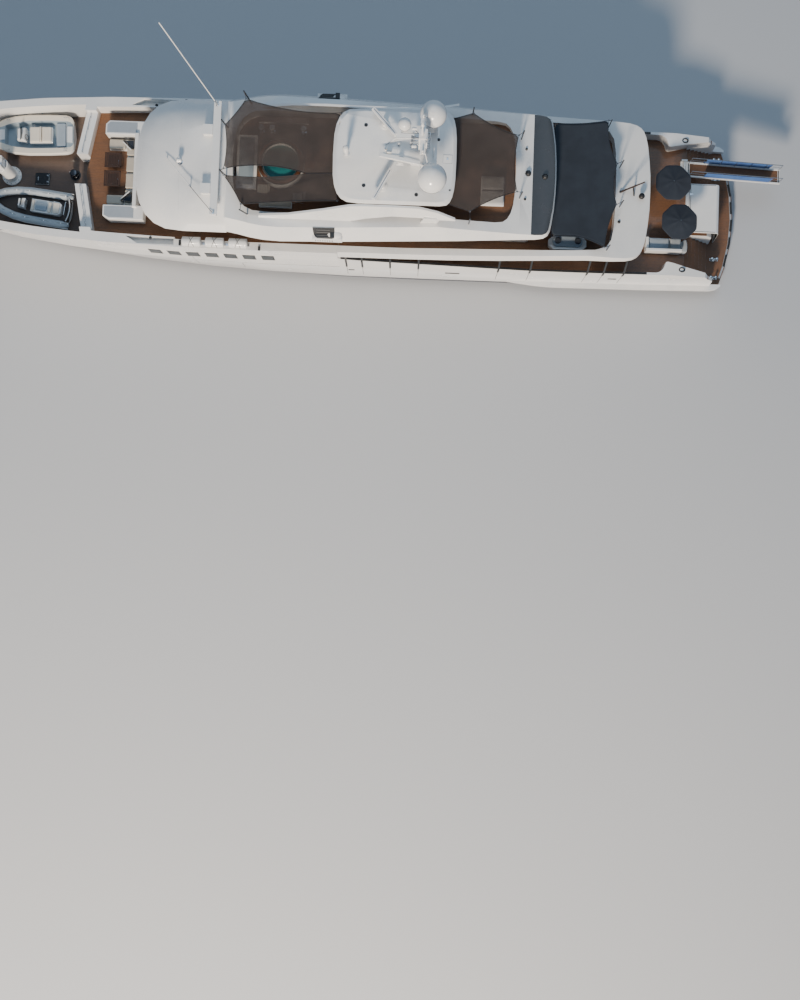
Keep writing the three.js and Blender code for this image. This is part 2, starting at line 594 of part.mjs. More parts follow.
// Deck edge and well, each row x and half breadth: the deck narrows towards its square aft end.
const upperRows = [[0, 4.73], [-1.8, 4.73], [-5.7, 4.72], [-9, 4.68], [-12, 4.6], [-15, 4.48], [-17.4, 4.38],
  [-19, 4.38], [-19.9, 4.34], [-20.35, 4.24], [-20.65, 4.08], [-20.85, 3.85], [-21, 3.5], [-21.13, 2.95],
  [-21.24, 2.1], [-21.33, 1.1], [-21.35, 0]];
const upperWellRows = [[2, 4.25], [-1.8, 4.25], [-5.7, 4.25], [-12, 4.12], [-14.5, 4.06], [-16.5, 4], [-17.9, 3.9],
  [-18.6, 3.65], [-18.9, 3.2], [-19.03, 2.4], [-19.1, 1.2], [-19.1, 0]];
const upperBlank = stack([
  raise(outlineThrough(upperRows, 0.12), UPPER_SLAB_Z),
  raise(outlineThrough(upperRows), UPPER_SLAB_Z + 0.35),
  raise(outlineThrough(upperRows, 0.06), CAP_Z),
]);
const upperProfile = sidePlate([
  [-22, 4], [FULL_HULL_AFT_X - SEAM, 4], [FULL_HULL_AFT_X - SEAM, CAP_Z], [-17.5, CAP_Z], [-22, 5.6],
], -6, 6);
const upperPoleFeet = [[-18.6, 3.9], [-19.35, 1.1], [-19.3, -1.4], [-18.5, -3.9]];
const upperPoles = upperPoleFeet.map(([x, y]) => rod([x, y, 5.2], [x, y, 7.35], 0.04));
const upperDeck = join(
  cut(common(upperBlank, upperProfile), prism(outlineThrough(upperWellRows), BRIDGE_DECK_Z, CAP_Z + 1)),
  ...upperPoles,
);
add('upper_deck', upperDeck, 'whitePaint');

// Upper house and wheelhouse: raked front, windows all round, two wing doors, two aft doors

const upperHouseLow = { aft: -14, fore: 10.7, half: 3.35, aftSweep: 0.4, foreSweep: 3.4, power: 3 };
const upperHouseHigh = { ...upperHouseLow, fore: 9.9, half: 3.25 };
const HOUSE_LOW_Z = BRIDGE_DECK_Z + SEAM;
const HOUSE_HIGH_Z = SUNDECK_SLAB_Z - SEAM;
const UPPER_SILL_Z = 6.2;
const UPPER_HEAD_Z = 7.25;
// Side windows of the upper house: x of the aft and fore edge.
const upperWindows = [[-13.2, -11], [-10.7, -8.5], [-8.2, -6], [-5.7, -3.5], [-3.2, -1], [-0.7, 1.5],
  [1.8, 4], [4.3, 5.1]];
const UPPER_DOOR_HALF = 1.2;
const WING_DOOR = { aft: 5.5, fore: 6.4, low: BRIDGE_DECK_Z + 0.1, high: 7.35 };
const WHEELHOUSE_PANES = 7;


// The house's outline at a level, on the line through its outlines at the two decks.
function houseAt(z, by) {
  const t = (z - HOUSE_LOW_Z) / (HOUSE_HIGH_Z - HOUSE_LOW_Z);
  const fore = upperHouseLow.fore + t * (upperHouseHigh.fore - upperHouseLow.fore);
  const half = upperHouseLow.half + t * (upperHouseHigh.half - upperHouseLow.half);
  return inset({ ...upperHouseLow, fore, half }, by);
}

const houseSolid = (by, spread = 0) => stackPlans(
  [HOUSE_LOW_Z - spread, HOUSE_HIGH_Z + spread].map((z) => [z, houseAt(z, by)]));

function wheelhouseCuts() {
  const cuts = [];
  for (let i = 0; i < WHEELHOUSE_PANES; i += 1) {
    const angle = ((i - (WHEELHOUSE_PANES - 1) / 2) / WHEELHOUSE_PANES) * 2.6;
    const pane = new THREE.BoxGeometry(3.2, 0.98, 0.95).translate(3.6, 0, 6.75);
    cuts.push(pane.rotateZ(angle).translate(6.6, 0, 0));
  }
  return cuts;
}

const upperWalls = cut(
  cut(houseSolid(0), houseSolid(WALL, 0.01)),
  ...upperWindows.map(([aft, fore]) => box(aft, fore, -5, 5, UPPER_SILL_Z, UPPER_HEAD_Z)),
  box(WING_DOOR.aft, WING_DOOR.fore, -5, 5, WING_DOOR.low, WING_DOOR.high),
  box(-15, -13, -UPPER_DOOR_HALF, UPPER_DOOR_HALF, BRIDGE_DECK_Z + 0.1, 7.35),
  ...wheelhouseCuts(),
);
const WHEELHOUSE_AFT_X = 5.2;
add('upper_house_walls', common(upperWalls, box(-16, WHEELHOUSE_AFT_X - SEAM, -5, 5, 5, 9)), 'whitePaint');
add('wheelhouse_walls', common(upperWalls, box(WHEELHOUSE_AFT_X, 12, -5, 5, 5, 9)), 'whitePaint');

const upperGlass = common(
  cut(
    cut(houseSolid(WALL + SEAM), houseSolid(WALL + SEAM + PANE, 0.01)),
    box(-15, -13, -UPPER_DOOR_HALF - 0.1, UPPER_DOOR_HALF + 0.1, 5, 8),
    box(WING_DOOR.aft - 0.05, WING_DOOR.fore + 0.05, -5, 5, 5, 7.38),
  ),
  box(-16, 12, -5, 5, UPPER_SILL_Z - 0.12, 7.5),
);
add('upper_house_glass', upperGlass, 'glass');

const wingDoorY = upperHouseLow.half + RUNNING_GAP;
for (const [side, hand] of [['port', 1], ['starboard', -1]]) {
  add(`salon_door_${side}`, slidingDoor(hand, MAIN_DOOR_HALF, MAIN_DECK_Z + 0.03, 4.85), 'glass',
    [mainHouse.aft - RUNNING_GAP - DOOR_PANEL, 0, 0]);
  add(`upper_door_${side}`, slidingDoor(hand, UPPER_DOOR_HALF, BRIDGE_DECK_Z + 0.03, 7.45), 'glass',
    [upperHouseLow.aft - RUNNING_GAP - DOOR_PANEL, 0, 0]);
  const y0 = hand > 0 ? wingDoorY : -wingDoorY - DOOR_PANEL;
  add(`wing_door_${side}`, box(WING_DOOR.aft - 0.06, WING_DOOR.fore + 0.06, y0, y0 + DOOR_PANEL,
    BRIDGE_DECK_Z + 0.03, 7.4), 'whitePaint');
}

// Sundeck: slab, sloping coaming, the long well with the tub forward, and the awning poles

const SUNDECK_FORE_X = 4.9;
// Deck edge, each row x and half breadth: it flares out behind the roof and narrows aft.
const sundeckRows = [[6, 3.9], [4.9, 4.07], [4.2, 4.2], [3.4, 4.38], [2.6, 4.5], [1.6, 4.55], [-1.5, 4.47], [-5.5, 4.3],
  [-9.4, 4.13], [-12.5, 3.95], [-13.9, 3.88], [-14.4, 3.8], [-14.68, 3.62], [-14.82, 3.35], [-14.9, 2.9],
  [-15.03, 2], [-15.1, 1], [-15.12, 0]];
const wellPlan = { aft: -12.6, fore: 4.5, half: 3.1, aftSweep: 1.2, foreSweep: 2.2, power: 3 };
const sundeckBlank = stack([[SUNDECK_SLAB_Z, 0.1], [7.8, 0], [8.1, 0.15], [COAMING_Z, 0.55]].map(
  ([z, by]) => raise(outlineThrough(sundeckRows, by), z)));
const sundeckProfile = sidePlate([
  [-16, 7], [SUNDECK_FORE_X - SEAM, 7], [SUNDECK_FORE_X - SEAM, COAMING_Z], [-8, COAMING_Z],
  [-12.9, 8.25], [-16, 8],
], -6, 6);
// Awning poles: foot x, y and head x, y, z. Each foot stands in the coaming.
const sundeckPoles = [
  [3.3, 3.2, 3.75, 3.45, 10.3], [3.3, -3.3, 3.8, -3.65, 10.3],
  [4.66, 1.0, 5.06, 1.05, 10.1], [4.66, -1.9, 5.08, -1.95, 10.1],
  [-12.85, 1.5, -12.9, 1.55, 9.6], [-12.85, -2.1, -12.9, -2.15, 9.6],
  [-9.8, 3.3, -9.85, 3.35, 9.8], [-9.8, -3.3, -9.85, -3.35, 9.8],
];
const sundeckSolid = join(
  cut(common(sundeckBlank, sundeckProfile), prism(plan(wellPlan), SUNDECK_Z, COAMING_Z + 1)),
  ...sundeckPoles.map(([x, y, hx, hy, hz]) => rod([x, y, 8.05], [hx, hy, hz], 0.045)),
  box(-2.2, -0.4, 3.75, 4.46, 7.65, 8.35),
  box(-2.2, -0.4, -4.46, -3.75, 7.65, 8.35),
);
add('sundeck', sundeckSolid, 'whitePaint');

// Wheelhouse roof: crowned, its front rounded in plan

const roofPlan = { aft: 3, fore: 10.65, half: 4.08, aftSweep: 0.2, foreSweep: 3.1, power: 2.6 };
const ARCH_X = 5.5;
const roof = join(cut(
  stackPlans([
    [SUNDECK_SLAB_Z - 0.15, inset(roofPlan, 0.25)],
    [SUNDECK_SLAB_Z, roofPlan],
    [7.95, inset(roofPlan, 0.35)],
    [8.35, inset(roofPlan, 0.95)],
    [8.6, inset(roofPlan, 1.9)],
  ]),
  box(2, SUNDECK_FORE_X, -6, 6, 7, 10),
  houseSolid(-0.02, 0).translate(0, 0, 0.002),
),
  box(ARCH_X - 0.22, ARCH_X + 0.22, -3.45, 3.45, 8.95, 9.15),
  box(ARCH_X - 0.2, ARCH_X + 0.2, 2.2, 2.6, 8.4, 9.0),
  box(ARCH_X - 0.2, ARCH_X + 0.2, -2.6, -2.2, 8.4, 9.0),
  box(5.8, 6.35, -2.05, -1.5, 8.4, 8.95),
  box(5.8, 6.35, 1.55, 2.1, 8.4, 8.95),
);
add('wheelhouse_roof', roof, 'whitePaint');
add('whip_aerial', rod([ARCH_X, -3.2, 9.165], [7.5, -4.6, 16.6], 0.035), 'whitePaint');

// Hardtop over the middle of the sundeck, on two swept side arms

const hardtopPlan = { aft: -8.9, fore: -1.6, half: 2.85, aftSweep: 0.9, foreSweep: 1.6, power: 3.2 };
const scannerPosts = [[-4.6, 1.85], [-4.6, -1.85]];
const hardtop = join(
  stackPlans([
    [HARDTOP_LOW_Z, inset(hardtopPlan, 0.15)],
    [HARDTOP_LOW_Z + 0.12, hardtopPlan],
    [HARDTOP_Z, inset(hardtopPlan, 0.2)],
  ]),
  ...scannerPosts.map(([x, y]) => rod([x, y, HARDTOP_Z - 0.1], [x, y, 10.78], 0.16, 12)),
);
add('hardtop', hardtop, 'whitePaint');

// Side arm: a blade that leans outwards from the hardtop's edge to the coaming and ends aft in a
// spear tip. Each row has x, then y and z of the outer face's top and bottom edges.
const ARM_THICKNESS = 0.13;
const FOOT_Z = COAMING_Z + SEAM;
const armRows = [
  [2.8, 3.36, 8.97, 3.46, FOOT_Z], [1.0, 3.38, 9.4, 3.48, FOOT_Z], [-1.2, 3.2, 9.95, 3.48, FOOT_Z],
  [-2.7, 3.02, 10.3, 3.48, FOOT_Z], [-3.6, 3.0, 10.36, 3.42, 9.3], [-5.2, 3.0, 10.36, 3.32, 9.62],
  [-6.8, 3.02, 10.34, 3.34, 9.58], [-7.9, 3.2, 10.2, 3.44, 9.6], [-8.95, 3.5, 9.98, 3.53, 9.86],
];
const armLeg = [[-6.9, FOOT_Z], [-7.9, FOOT_Z], [-8.1, 9.75], [-7.1, 9.75]];
function hardtopArm(side) {
  const rings = armRows.map(([x, topY, topZ, lowY, lowZ]) => {
    const ring = [[x, topY, topZ], [x, lowY, lowZ], [x, lowY - ARM_THICKNESS, lowZ], [x, topY - ARM_THICKNESS, topZ]];
    return side > 0 ? ring : ring.map(([a, b, c]) => [a, -b, c]).reverse();
  });
  const leg = side > 0 ? sidePlate(armLeg.slice().reverse(), 3.3, 3.42)
    : sidePlate(armLeg.slice().reverse(), -3.42, -3.3);
  return join(loft(rings), leg);
}
add('hardtop_arm_port', hardtopArm(1), 'whitePaint');
add('hardtop_arm_starboard', hardtopArm(-1), 'whitePaint');

// Mast: wedge platform, column, spreaders and the radomes' pedestals

const radomes = [
  { name: 'radome_port', x: -7.45, y: 2.05, z: 12.95, radius: 0.83 },
  { name: 'radome_starboard', x: -7.4, y: -1.5, z: 13.3, radius: 0.75 },
  { name: 'radome_small', x: -5.8, y: -1.0, z: 12.9, radius: 0.37 },
];
const MAST_SCANNER = [-5.6, 0.95];
const mast = join(
  prism([[-4.4, -0.05], [-4.4, 0.63], [-6.8, 1.05], [-7.4, 1.05], [-7.4, -0.6], [-5.96, -0.36]], 12.1, 12.25),
  box(-7.2, -6.2, -0.5, 0.5, HARDTOP_Z + SEAM, 12.2),
  box(-7.1, -6.62, -0.28, 0.28, 12.1, 14.2),
  rod([-6.8, 0.05, 14.1], [-6.8, 0.05, 15.9], 0.06),
  box(-7.0, -6.7, -1.1, 1.1, 14.0, 14.12),
  box(-7.7, -7.1, -1.9, 2.3, 11.85, 12.02),
  box(-7.5, -5.6, -1.25, -0.85, 11.9, 12.1),
  rod([...MAST_SCANNER, 12.2], [...MAST_SCANNER, 12.5], 0.15, 12),
  box(-5.8, -5.4, 0.5, 1.1, 12.1, 12.25),
  ...radomes.map(({ x, y, z, radius }) => rod([x, y, 11.9], [x, y, z - radius * 0.72 - SEAM], radius * 0.3,
    12)),
);
add('mast', mast, 'whitePaint');

function dome(radius, steps = 8) {
  const profile = [[0, -0.72 * radius]];
  const start = -Math.asin(0.72);
  for (let i = 0; i <= steps; i += 1) {
    const angle = start + (i / steps) * (Math.PI / 2 - start);
    profile.push([radius * Math.cos(angle), radius * Math.sin(angle)]);
  }
  profile[steps + 1][0] = 0;
  return turned(profile.slice(), 16);
}
for (const { name, x, y, z, radius } of radomes) {
  add(name, dome(radius), 'whitePaint', [x, y, z]);
}

const scanners = [
  { name: 'radar_port', x: scannerPosts[0][0], y: scannerPosts[0][1], z: 10.8, length: 2.05, turn: 1.09 },
  { name: 'radar_starboard', x: scannerPosts[1][0], y: scannerPosts[1][1], z: 10.8, length: 2.1, turn: -0.83 },
  { name: 'radar_mast', x: MAST_SCANNER[0], y: MAST_SCANNER[1], z: 12.52, length: 2.35, turn: -0.18 },
];
for (const { name, x, y, z, length, turn } of scanners) {
  const bar = join(box(-length / 2, length / 2, -0.11, 0.11, 0.1, 0.3), rod([0, 0, 0], [0, 0, 0.15], 0.1, 12));
  add(name, bar, 'whitePaint', [x, y, z], [0, 0, turn]);
}

// Sundeck tub and sunpad

const TUB_X = 1.63;
const TUB_OUTER = 1.4;
const TUB_INNER = 1.09;
const tub = turned([[0, 0], [TUB_OUTER, 0], [TUB_OUTER, 0.85], [TUB_INNER, 0.85], [TUB_INNER - 0.1, 0.15],
  [0, 0.15]], 24);
add('jacuzzi_tub', tub, 'whitePaint', [TUB_X, 0, SUNDECK_Z + SEAM]);
add('sundeck_sunpad', box(-11.95, -10.5, 0.2, 2, SUNDECK_Z + SEAM, 8.45), 'cushion');

// Awnings: corner points of x, y and z, closed to a thin sheet

function membrane(points, thickness = 0.03) {
  return stack([points.map(([x, y, z]) => [x, y, z - thickness]), points]);
}
const forwardAwning = [[3.68, 3.0, 9.9], [1.8, 2.9, 9.65], [-1.95, 2.62, 9.98], [-1.75, 0, 9.95],
  [-2.05, -2.74, 9.98], [1.8, -2.95, 9.7], [3.75, -3.42, 9.95], [4.9, -1.82, 9.8], [4.8, -0.4, 9.7],
  [4.88, 0.9, 9.8]];
const aftAwning = [[-8.4, 2.6, 9.98], [-8.4, -2.6, 9.98], [-9.85, -3.12, 9.6], [-12.62, -1.95, 9.4],
  [-12.45, -0.5, 9.35], [-12.62, 1.5, 9.4], [-9.82, 2.85, 9.6]];
const upperAwning = [[-14.95, 3.5, 7.3], [-17.1, 3.5, 7.15], [-18.35, 4.05, 7.1], [-18.5, 2.75, 7.0],
  [-18.95, 1.3, 7.1], [-18.72, -0.1, 7.05], [-18.9, -1.25, 7.1], [-18.5, -2.95, 7.0], [-18.38, -4.02, 7.1],
  [-16.6, -3.7, 7.15], [-14.95, -3.6, 7.3]];
const anticlockwise = (points) => (THREE.ShapeUtils.area(points.map(([x, y]) => new THREE.Vector2(x, y))) > 0
  ? points : points.slice().reverse());
add('awning_forward', membrane(anticlockwise(forwardAwning)), 'meshCloth');
add('awning_aft', membrane(anticlockwise(aftAwning)), 'meshCloth');
add('awning_upper', membrane(anticlockwise(upperAwning)), 'navyCloth');

// Upper aft sofa, main-deck aft sofa and two parasols

add('upper_sofa', box(-17.45, -15.0, 2.9, 3.88, BRIDGE_DECK_Z + SEAM, 5.85), 'cushion');
add('aft_sofa', box(-24.25, -21.6, 2.05, 3.05, MAIN_DECK_Z + SEAM, 3.4), 'cushion');
const parasols = [
  { name: 'parasol_starboard', x: -23.05, y: -1.1 },
  { name: 'parasol_port', x: -23.5, y: 1.42 },
];
for (const { name, x, y } of parasols) {
  const canopy = turned([[0, 2.1], [1.2, 1.85], [1.22, 1.9], [0, 2.25]], 8);
  add(name, join(canopy, rod([0, 0, 0], [0, 0, 2.18], 0.04), rod([0, 0, 0], [0, 0, 0.1], 0.3, 12)),
    'navyCloth', [x, y, MAIN_DECK_Z + SEAM]);
}

// Bridge deck forward of the wheelhouse: coaming, cushions and two tables

const COAMING_TOP = 6.15;
const bridgeCoaming = join(
  prism([[10.4, 2.17], [12.95, 2.17], [12.95, 2.87], [12.6, 3.08], [10.4, 3.08]], HOUSE_LOW_Z, COAMING_TOP),
  prism([[10.4, -3.18], [12.75, -3.18], [13, -2.95], [13, -2.3], [10.4, -2.3]], HOUSE_LOW_Z, COAMING_TOP),
  box(10.85, 11.1, -2.4, 2.3, HOUSE_LOW_Z, 6.3),
);
add('bridge_coaming', bridgeCoaming, 'whitePaint');
add('bridge_cushions', join(
  box(11.1 + SEAM, 11.75, -2.2, 2.1, HOUSE_LOW_Z, 5.75),
  box(11.7, 12.9, 1.4, 2.1, HOUSE_LOW_Z, 5.75),
  box(11.7, 12.9, -2.2, -1.45, HOUSE_LOW_Z, 5.75),
), 'cushion');
add('bridge_tables', join(
  box(11.95, 13.0, -1.2, -0.25, 5.95, 6.0),
  box(11.95, 13.0, -0.05, 0.95, 5.95, 6.0),
  box(12.35, 12.6, -0.9, 0.7, HOUSE_LOW_Z, 5.4),
  rod([12.48, -0.7, 5.35], [12.48, -0.7, 5.98], 0.06),
  rod([12.48, 0.45, 5.35], [12.48, 0.45, 5.98], 0.06),
), 'teak');

// Foredeck: crane, hatch, capstan and anchors

const CRANE_X = 19.3;
const CRANE_TURN_Z = 6.2;
add('crane_pedestal', join(
  rod([0, 0, 0], [0, 0, 0.12], 0.62, 20),
  rod([0, 0, 0.05], [0, 0, CRANE_TURN_Z - TENDER_DECK_Z - RUNNING_GAP - SEAM], 0.4, 16),
), 'whitePaint', [CRANE_X, 0.05, TENDER_DECK_Z + SEAM]);
add('crane_turret', join(
  rod([0, 0, 0], [0, 0, 0.38], 0.45, 16),
  box(-0.3, 0.3, 0.24, 0.34, 0.3, 1.1),
  box(-0.3, 0.3, -0.34, -0.24, 0.3, 1.1),
), 'whitePaint', [CRANE_X, 0.05, CRANE_TURN_Z]);
add('crane_boom', box(-0.3, 5.6, -0.2, 0.2, 0.6, 1.0), 'whitePaint', [CRANE_X, 0.05, CRANE_TURN_Z]);
add('foredeck_hatch', box(HATCH.aft + 0.05, HATCH.fore - 0.05, HATCH.starboard + 0.05, HATCH.port - 0.05,
  TENDER_DECK_Z + 0.06, TENDER_DECK_Z + 0.11), 'darkMetal');
add('capstan', turned([[0, 0], [0.26, 0], [0.24, 0.1], [0.15, 0.2], [0.16, 0.4], [0.24, 0.5], [0.2, 0.56],
  [0, 0.58]], 16), 'steel', [15.25, -0.15, TENDER_DECK_Z + RUNNING_GAP]);

// Tenders: a hull from the transom to the bow, hollowed, each with its seats and console

const SOLE_Z = 0.45;
function tenderHull(length, half, depth, rim) {
  const level = (z, scale, shorten) => [z, { aft: 0, fore: length - shorten, half: half * scale, aftSweep: 0.3,
    foreSweep: length * 0.45, power: 2.6 }];
  const outside = stackPlans([level(0, 0.3, 1), level(0.3, 0.8, 0.5), level(depth, 1, 0)]);
  const inside = { aft: rim, fore: length - rim * 2.2, half: half - rim, aftSweep: 0.3,
    foreSweep: length * 0.35, power: 2.6 };
  return cut(outside, prism(plan(inside), SOLE_Z, depth + 1));
}
add('jet_tender', join(
  tenderHull(5.6, 1.3, 1.0, 0.33),
  box(0.55, 1.2, -0.85, 0.85, SOLE_Z - 0.05, 1.0),
  box(1.9, 2.9, -0.6, 0.6, SOLE_Z - 0.05, 1.2),
  box(2.8, 3.5, -0.55, 0.55, SOLE_Z - 0.05, 1.4),
), 'cushion', [...jetPlace.at, TENDER_Z], [0, 0, jetPlace.turn]);
add('inflatable_tender', join(
  tenderHull(5.4, 1.15, 0.95, 0.36),
  box(0.6, 2.9, -0.45, 0.45, SOLE_Z - 0.05, 1.05),
  box(2.8, 3.7, -0.35, 0.35, SOLE_Z - 0.05, 1.3),
), 'tube', [...inflatablePlace.at, TENDER_Z], [0, 0, inflatablePlace.turn]);

// Stern: transom door and passerelle

// The door is one shell: a flat lid, a rounded edge and a steep face down to the platform.
const transomDoor = sidePlate([
  [-0.07, 0.05], [-1.85, 0.02], [-2.0, -0.06], [-2.1, -0.3], [-2.28, -2.2], [-2.21, -2.2], [-2.03, -0.3],
  [-1.95, -0.12], [-1.83, -0.05], [-0.07, -0.02],
], -1.62, 1.62);
add('transom_door', transomDoor, 'whitePaint', [-24.43, 0, 2.86]);

const passerelle = join(
  box(-6.55, -0.1, -0.42, 0.42, 0, 0.07),
  box(-6.55, 0, -0.5, -0.42, 0, 0.14),
  box(-6.55, 0, 0.42, 0.5, 0, 0.14),
  rod([0, -0.5, 0.07], [0, 0.5, 0.07], 0.07, 12),
);
add('passerelle', passerelle, 'whitePaint', [PASSERELLE_X, PASSERELLE_Y, PASSERELLE_Z], [0, -PASSERELLE_DROP, 0]);

// Life rafts: three canisters on the port bulwark's cap

const raftXs = [4.33, 5.78, 7.23];
const RAFT_Y = 4.44;
const canisters = raftXs.map((x) => rod([x - 0.58, RAFT_Y, 6.55], [x + 0.58, RAFT_Y, 6.55], 0.3, 12));
const raftRail = box(3.65, 7.9, RAFT_Y - 0.1, RAFT_Y + 0.1, CAP_Z + SEAM, 6.42);
add('life_rafts_port', join(raftRail, ...canisters), 'whitePaint');

export default yacht;
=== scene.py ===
# Three-deck motor yacht, a 1:2 model afloat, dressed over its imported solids.
# Forward is +X, port is +Y, up is +Z, and the waterline lies at Z = 0. Sizes and places in each
# section are metres of the real yacht, and HALF turns them into the model's metres.
import json
import math

import bmesh
import bpy
from mathutils import Matrix, Vector
from mathutils.bvhtree import BVHTree

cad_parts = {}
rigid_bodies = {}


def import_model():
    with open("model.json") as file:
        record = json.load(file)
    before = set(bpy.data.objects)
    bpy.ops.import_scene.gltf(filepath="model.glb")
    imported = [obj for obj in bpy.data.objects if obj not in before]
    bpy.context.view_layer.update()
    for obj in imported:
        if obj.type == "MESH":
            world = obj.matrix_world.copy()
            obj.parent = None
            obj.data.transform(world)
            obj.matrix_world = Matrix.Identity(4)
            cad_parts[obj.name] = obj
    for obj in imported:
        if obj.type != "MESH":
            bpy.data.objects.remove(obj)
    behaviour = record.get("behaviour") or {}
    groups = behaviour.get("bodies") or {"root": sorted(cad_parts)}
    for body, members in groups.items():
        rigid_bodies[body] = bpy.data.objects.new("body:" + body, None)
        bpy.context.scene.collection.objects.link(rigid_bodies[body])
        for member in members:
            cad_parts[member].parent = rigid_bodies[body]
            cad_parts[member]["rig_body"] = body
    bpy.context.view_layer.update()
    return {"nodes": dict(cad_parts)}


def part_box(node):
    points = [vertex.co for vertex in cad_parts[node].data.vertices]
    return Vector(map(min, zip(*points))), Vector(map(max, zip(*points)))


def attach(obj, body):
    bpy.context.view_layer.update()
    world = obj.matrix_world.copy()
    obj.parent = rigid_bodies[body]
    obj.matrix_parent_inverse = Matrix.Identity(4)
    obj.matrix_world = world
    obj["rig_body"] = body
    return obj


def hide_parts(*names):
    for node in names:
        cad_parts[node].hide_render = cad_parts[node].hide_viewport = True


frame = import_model()
cad = frame["nodes"]
scene = bpy.context.scene
HALF = 0.5
SIDES = (("port", 1), ("starboard", -1))


# Camera, floor and light. The camera hangs high over the port side and looks almost straight
# down. A pale floor lies at the waterline, a broad warm light stands to port, and a cool one
# fills from above.
FOCAL_PIXELS = 1120
PICTURE_PIXELS = 1000
SENSOR_MM = 36
CAMERA_AT = (-6.429, 23.052, 75.243)
# How far the point straight below the camera lies from the middle of the picture.
NADIR_PIXELS = 50
YAW = math.radians(2.15)
FLOOR_REACH = 120


def added(name, data):
    """A new object of the scene, at the origin."""
    thing = bpy.data.objects.new(name, data)
    scene.collection.objects.link(thing)
    return thing


def new_material(name):
    """A material, its tree, and its surface's inputs."""
    material = bpy.data.materials.new(name)
    material.use_nodes = True
    return material, material.node_tree, material.node_tree.nodes["Principled BSDF"].inputs


camera_data = bpy.data.cameras.new("camera")
camera_data.lens = FOCAL_PIXELS * SENSOR_MM / PICTURE_PIXELS
camera_data.clip_end = 500
camera = added("camera", camera_data)
lean = math.atan(NADIR_PIXELS / FOCAL_PIXELS)
right = Vector((-math.cos(YAW), -math.sin(YAW), 0))
top = Vector((math.cos(lean) * math.sin(YAW), -math.cos(lean) * math.cos(YAW), math.sin(lean)))
camera.matrix_world = (Matrix.Translation(Vector(CAMERA_AT) * HALF)
                       @ Matrix((right, top, right.cross(top))).transposed().to_4x4())
scene.camera = camera

floor_mesh = bpy.data.meshes.new("floor")
floor_corners = [(x * FLOOR_REACH, y * FLOOR_REACH, 0) for x, y in ((-1, -1), (1, -1), (1, 1), (-1, 1))]
floor_mesh.from_pydata(floor_corners, [], [(0, 1, 2, 3)])
floor = added("floor", floor_mesh)
floor_paint, _, surface = new_material("floor paint")
surface["Base Color"].default_value = (0.5, 0.52, 0.55, 1)
surface["Roughness"].default_value = 0.95
floor_mesh.materials.append(floor_paint)


def hang_light(name, at, aim, size, power, colour):
    data = bpy.data.lights.new(name, "AREA")
    data.shape = "DISK"
    data.size = size
    data.energy = power
    data.color = colour
    light = added(name, data)
    light.location = at
    light.rotation_euler = (Vector(aim) - Vector(at)).to_track_quat("-Z", "Y").to_euler()


hang_light("warm light to port", (8, 64, 36), (0, 0, 2), 11, 84000, (1.0, 0.86, 0.7))
hang_light("cool light above", (-4, -22, 60), (0, 0, 2), 50, 8500, (0.6, 0.8, 1.0))
world = bpy.data.worlds.new("studio")
world.use_nodes = True
backdrop = world.node_tree.nodes["Background"].inputs
backdrop["Color"].default_value = (0.5, 0.66, 0.86, 1)
backdrop["Strength"].default_value = 0.36
scene.world = world

# Hull. Welded plate, faired with filler and sprayed in gloss white, with a navy band just above the
# waterline over dark antifouling. A thin dark line round the side is painted shade, standing for the
# shade along a knuckle in the plating. The aft deck, the stairs and the platform are laid with teak,
# and the tender bay with darker grey-brown planks, both caulked in black.
COLOUR = "NodeSocketColor"
VALUE = "NodeSocketFloat"
VECTOR = "NodeSocketVector"
SURFACE = [("Color", COLOUR), ("Roughness", VALUE), ("Height", VALUE)]


def node_group(name, inputs, outputs, kind="ShaderNodeTree"):
    tree = bpy.data.node_groups.new(name, kind)
    for label, sort, value in inputs:
        socket = tree.interface.new_socket(label, in_out="INPUT", socket_type=sort)
        if value is not None:
            socket.default_value = value
    for label, sort in outputs:
        tree.interface.new_socket(label, in_out="OUTPUT", socket_type=sort)
    return tree, tree.nodes.new("NodeGroupInput").outputs, tree.nodes.new("NodeGroupOutput").inputs


def fill(tree, target, source):
    """Joins a socket to an input, or sets the input to a plain value."""
    if isinstance(source, bpy.types.NodeSocket):
        tree.links.new(source, target)
    else:
        target.default_value = source


def put(tree, kind, links, **settings):
    """A new node's outputs. links go to its inputs and settings to its own fields."""
    made = tree.nodes.new(kind)
    for label, value in settings.items():
        setattr(made, label, value)
    for label, source in links.items():
        fill(tree, made.inputs[label], source)
    return made.outputs


def math_of(tree, operation, *terms):
    return put(tree, "ShaderNodeMath", dict(enumerate(terms)), operation=operation)[0]


def times(tree, first, second):
    return math_of(tree, "MULTIPLY", first, second)


def parts_of(tree, vector):
    return put(tree, "ShaderNodeSeparateXYZ", {"Vector": vector})


def noise_of(tree, vector, scale, detail, **more):
    return put(tree, "ShaderNodeTexNoise", {"Vector": vector, "Scale": scale, "Detail": detail, **more})[0]


def blend_of(tree, share, first, second, kind="RGBA"):
    made = tree.nodes.new("ShaderNodeMix")
    made.data_type = kind
    low, out = {"RGBA": (6, 2), "FLOAT": (2, 0)}[kind]
    for place, source in ((0, share), (low, first), (low + 1, second)):
        fill(tree, made.inputs[place], source)
    return made.outputs[out]


def ramp_of(tree, value, low, high, start=0.0, end=1.0):
    return put(tree, "ShaderNodeMapRange", {"Value": value, "From Min": low, "From Max": high,
                                            "To Min": start, "To Max": end})[0]


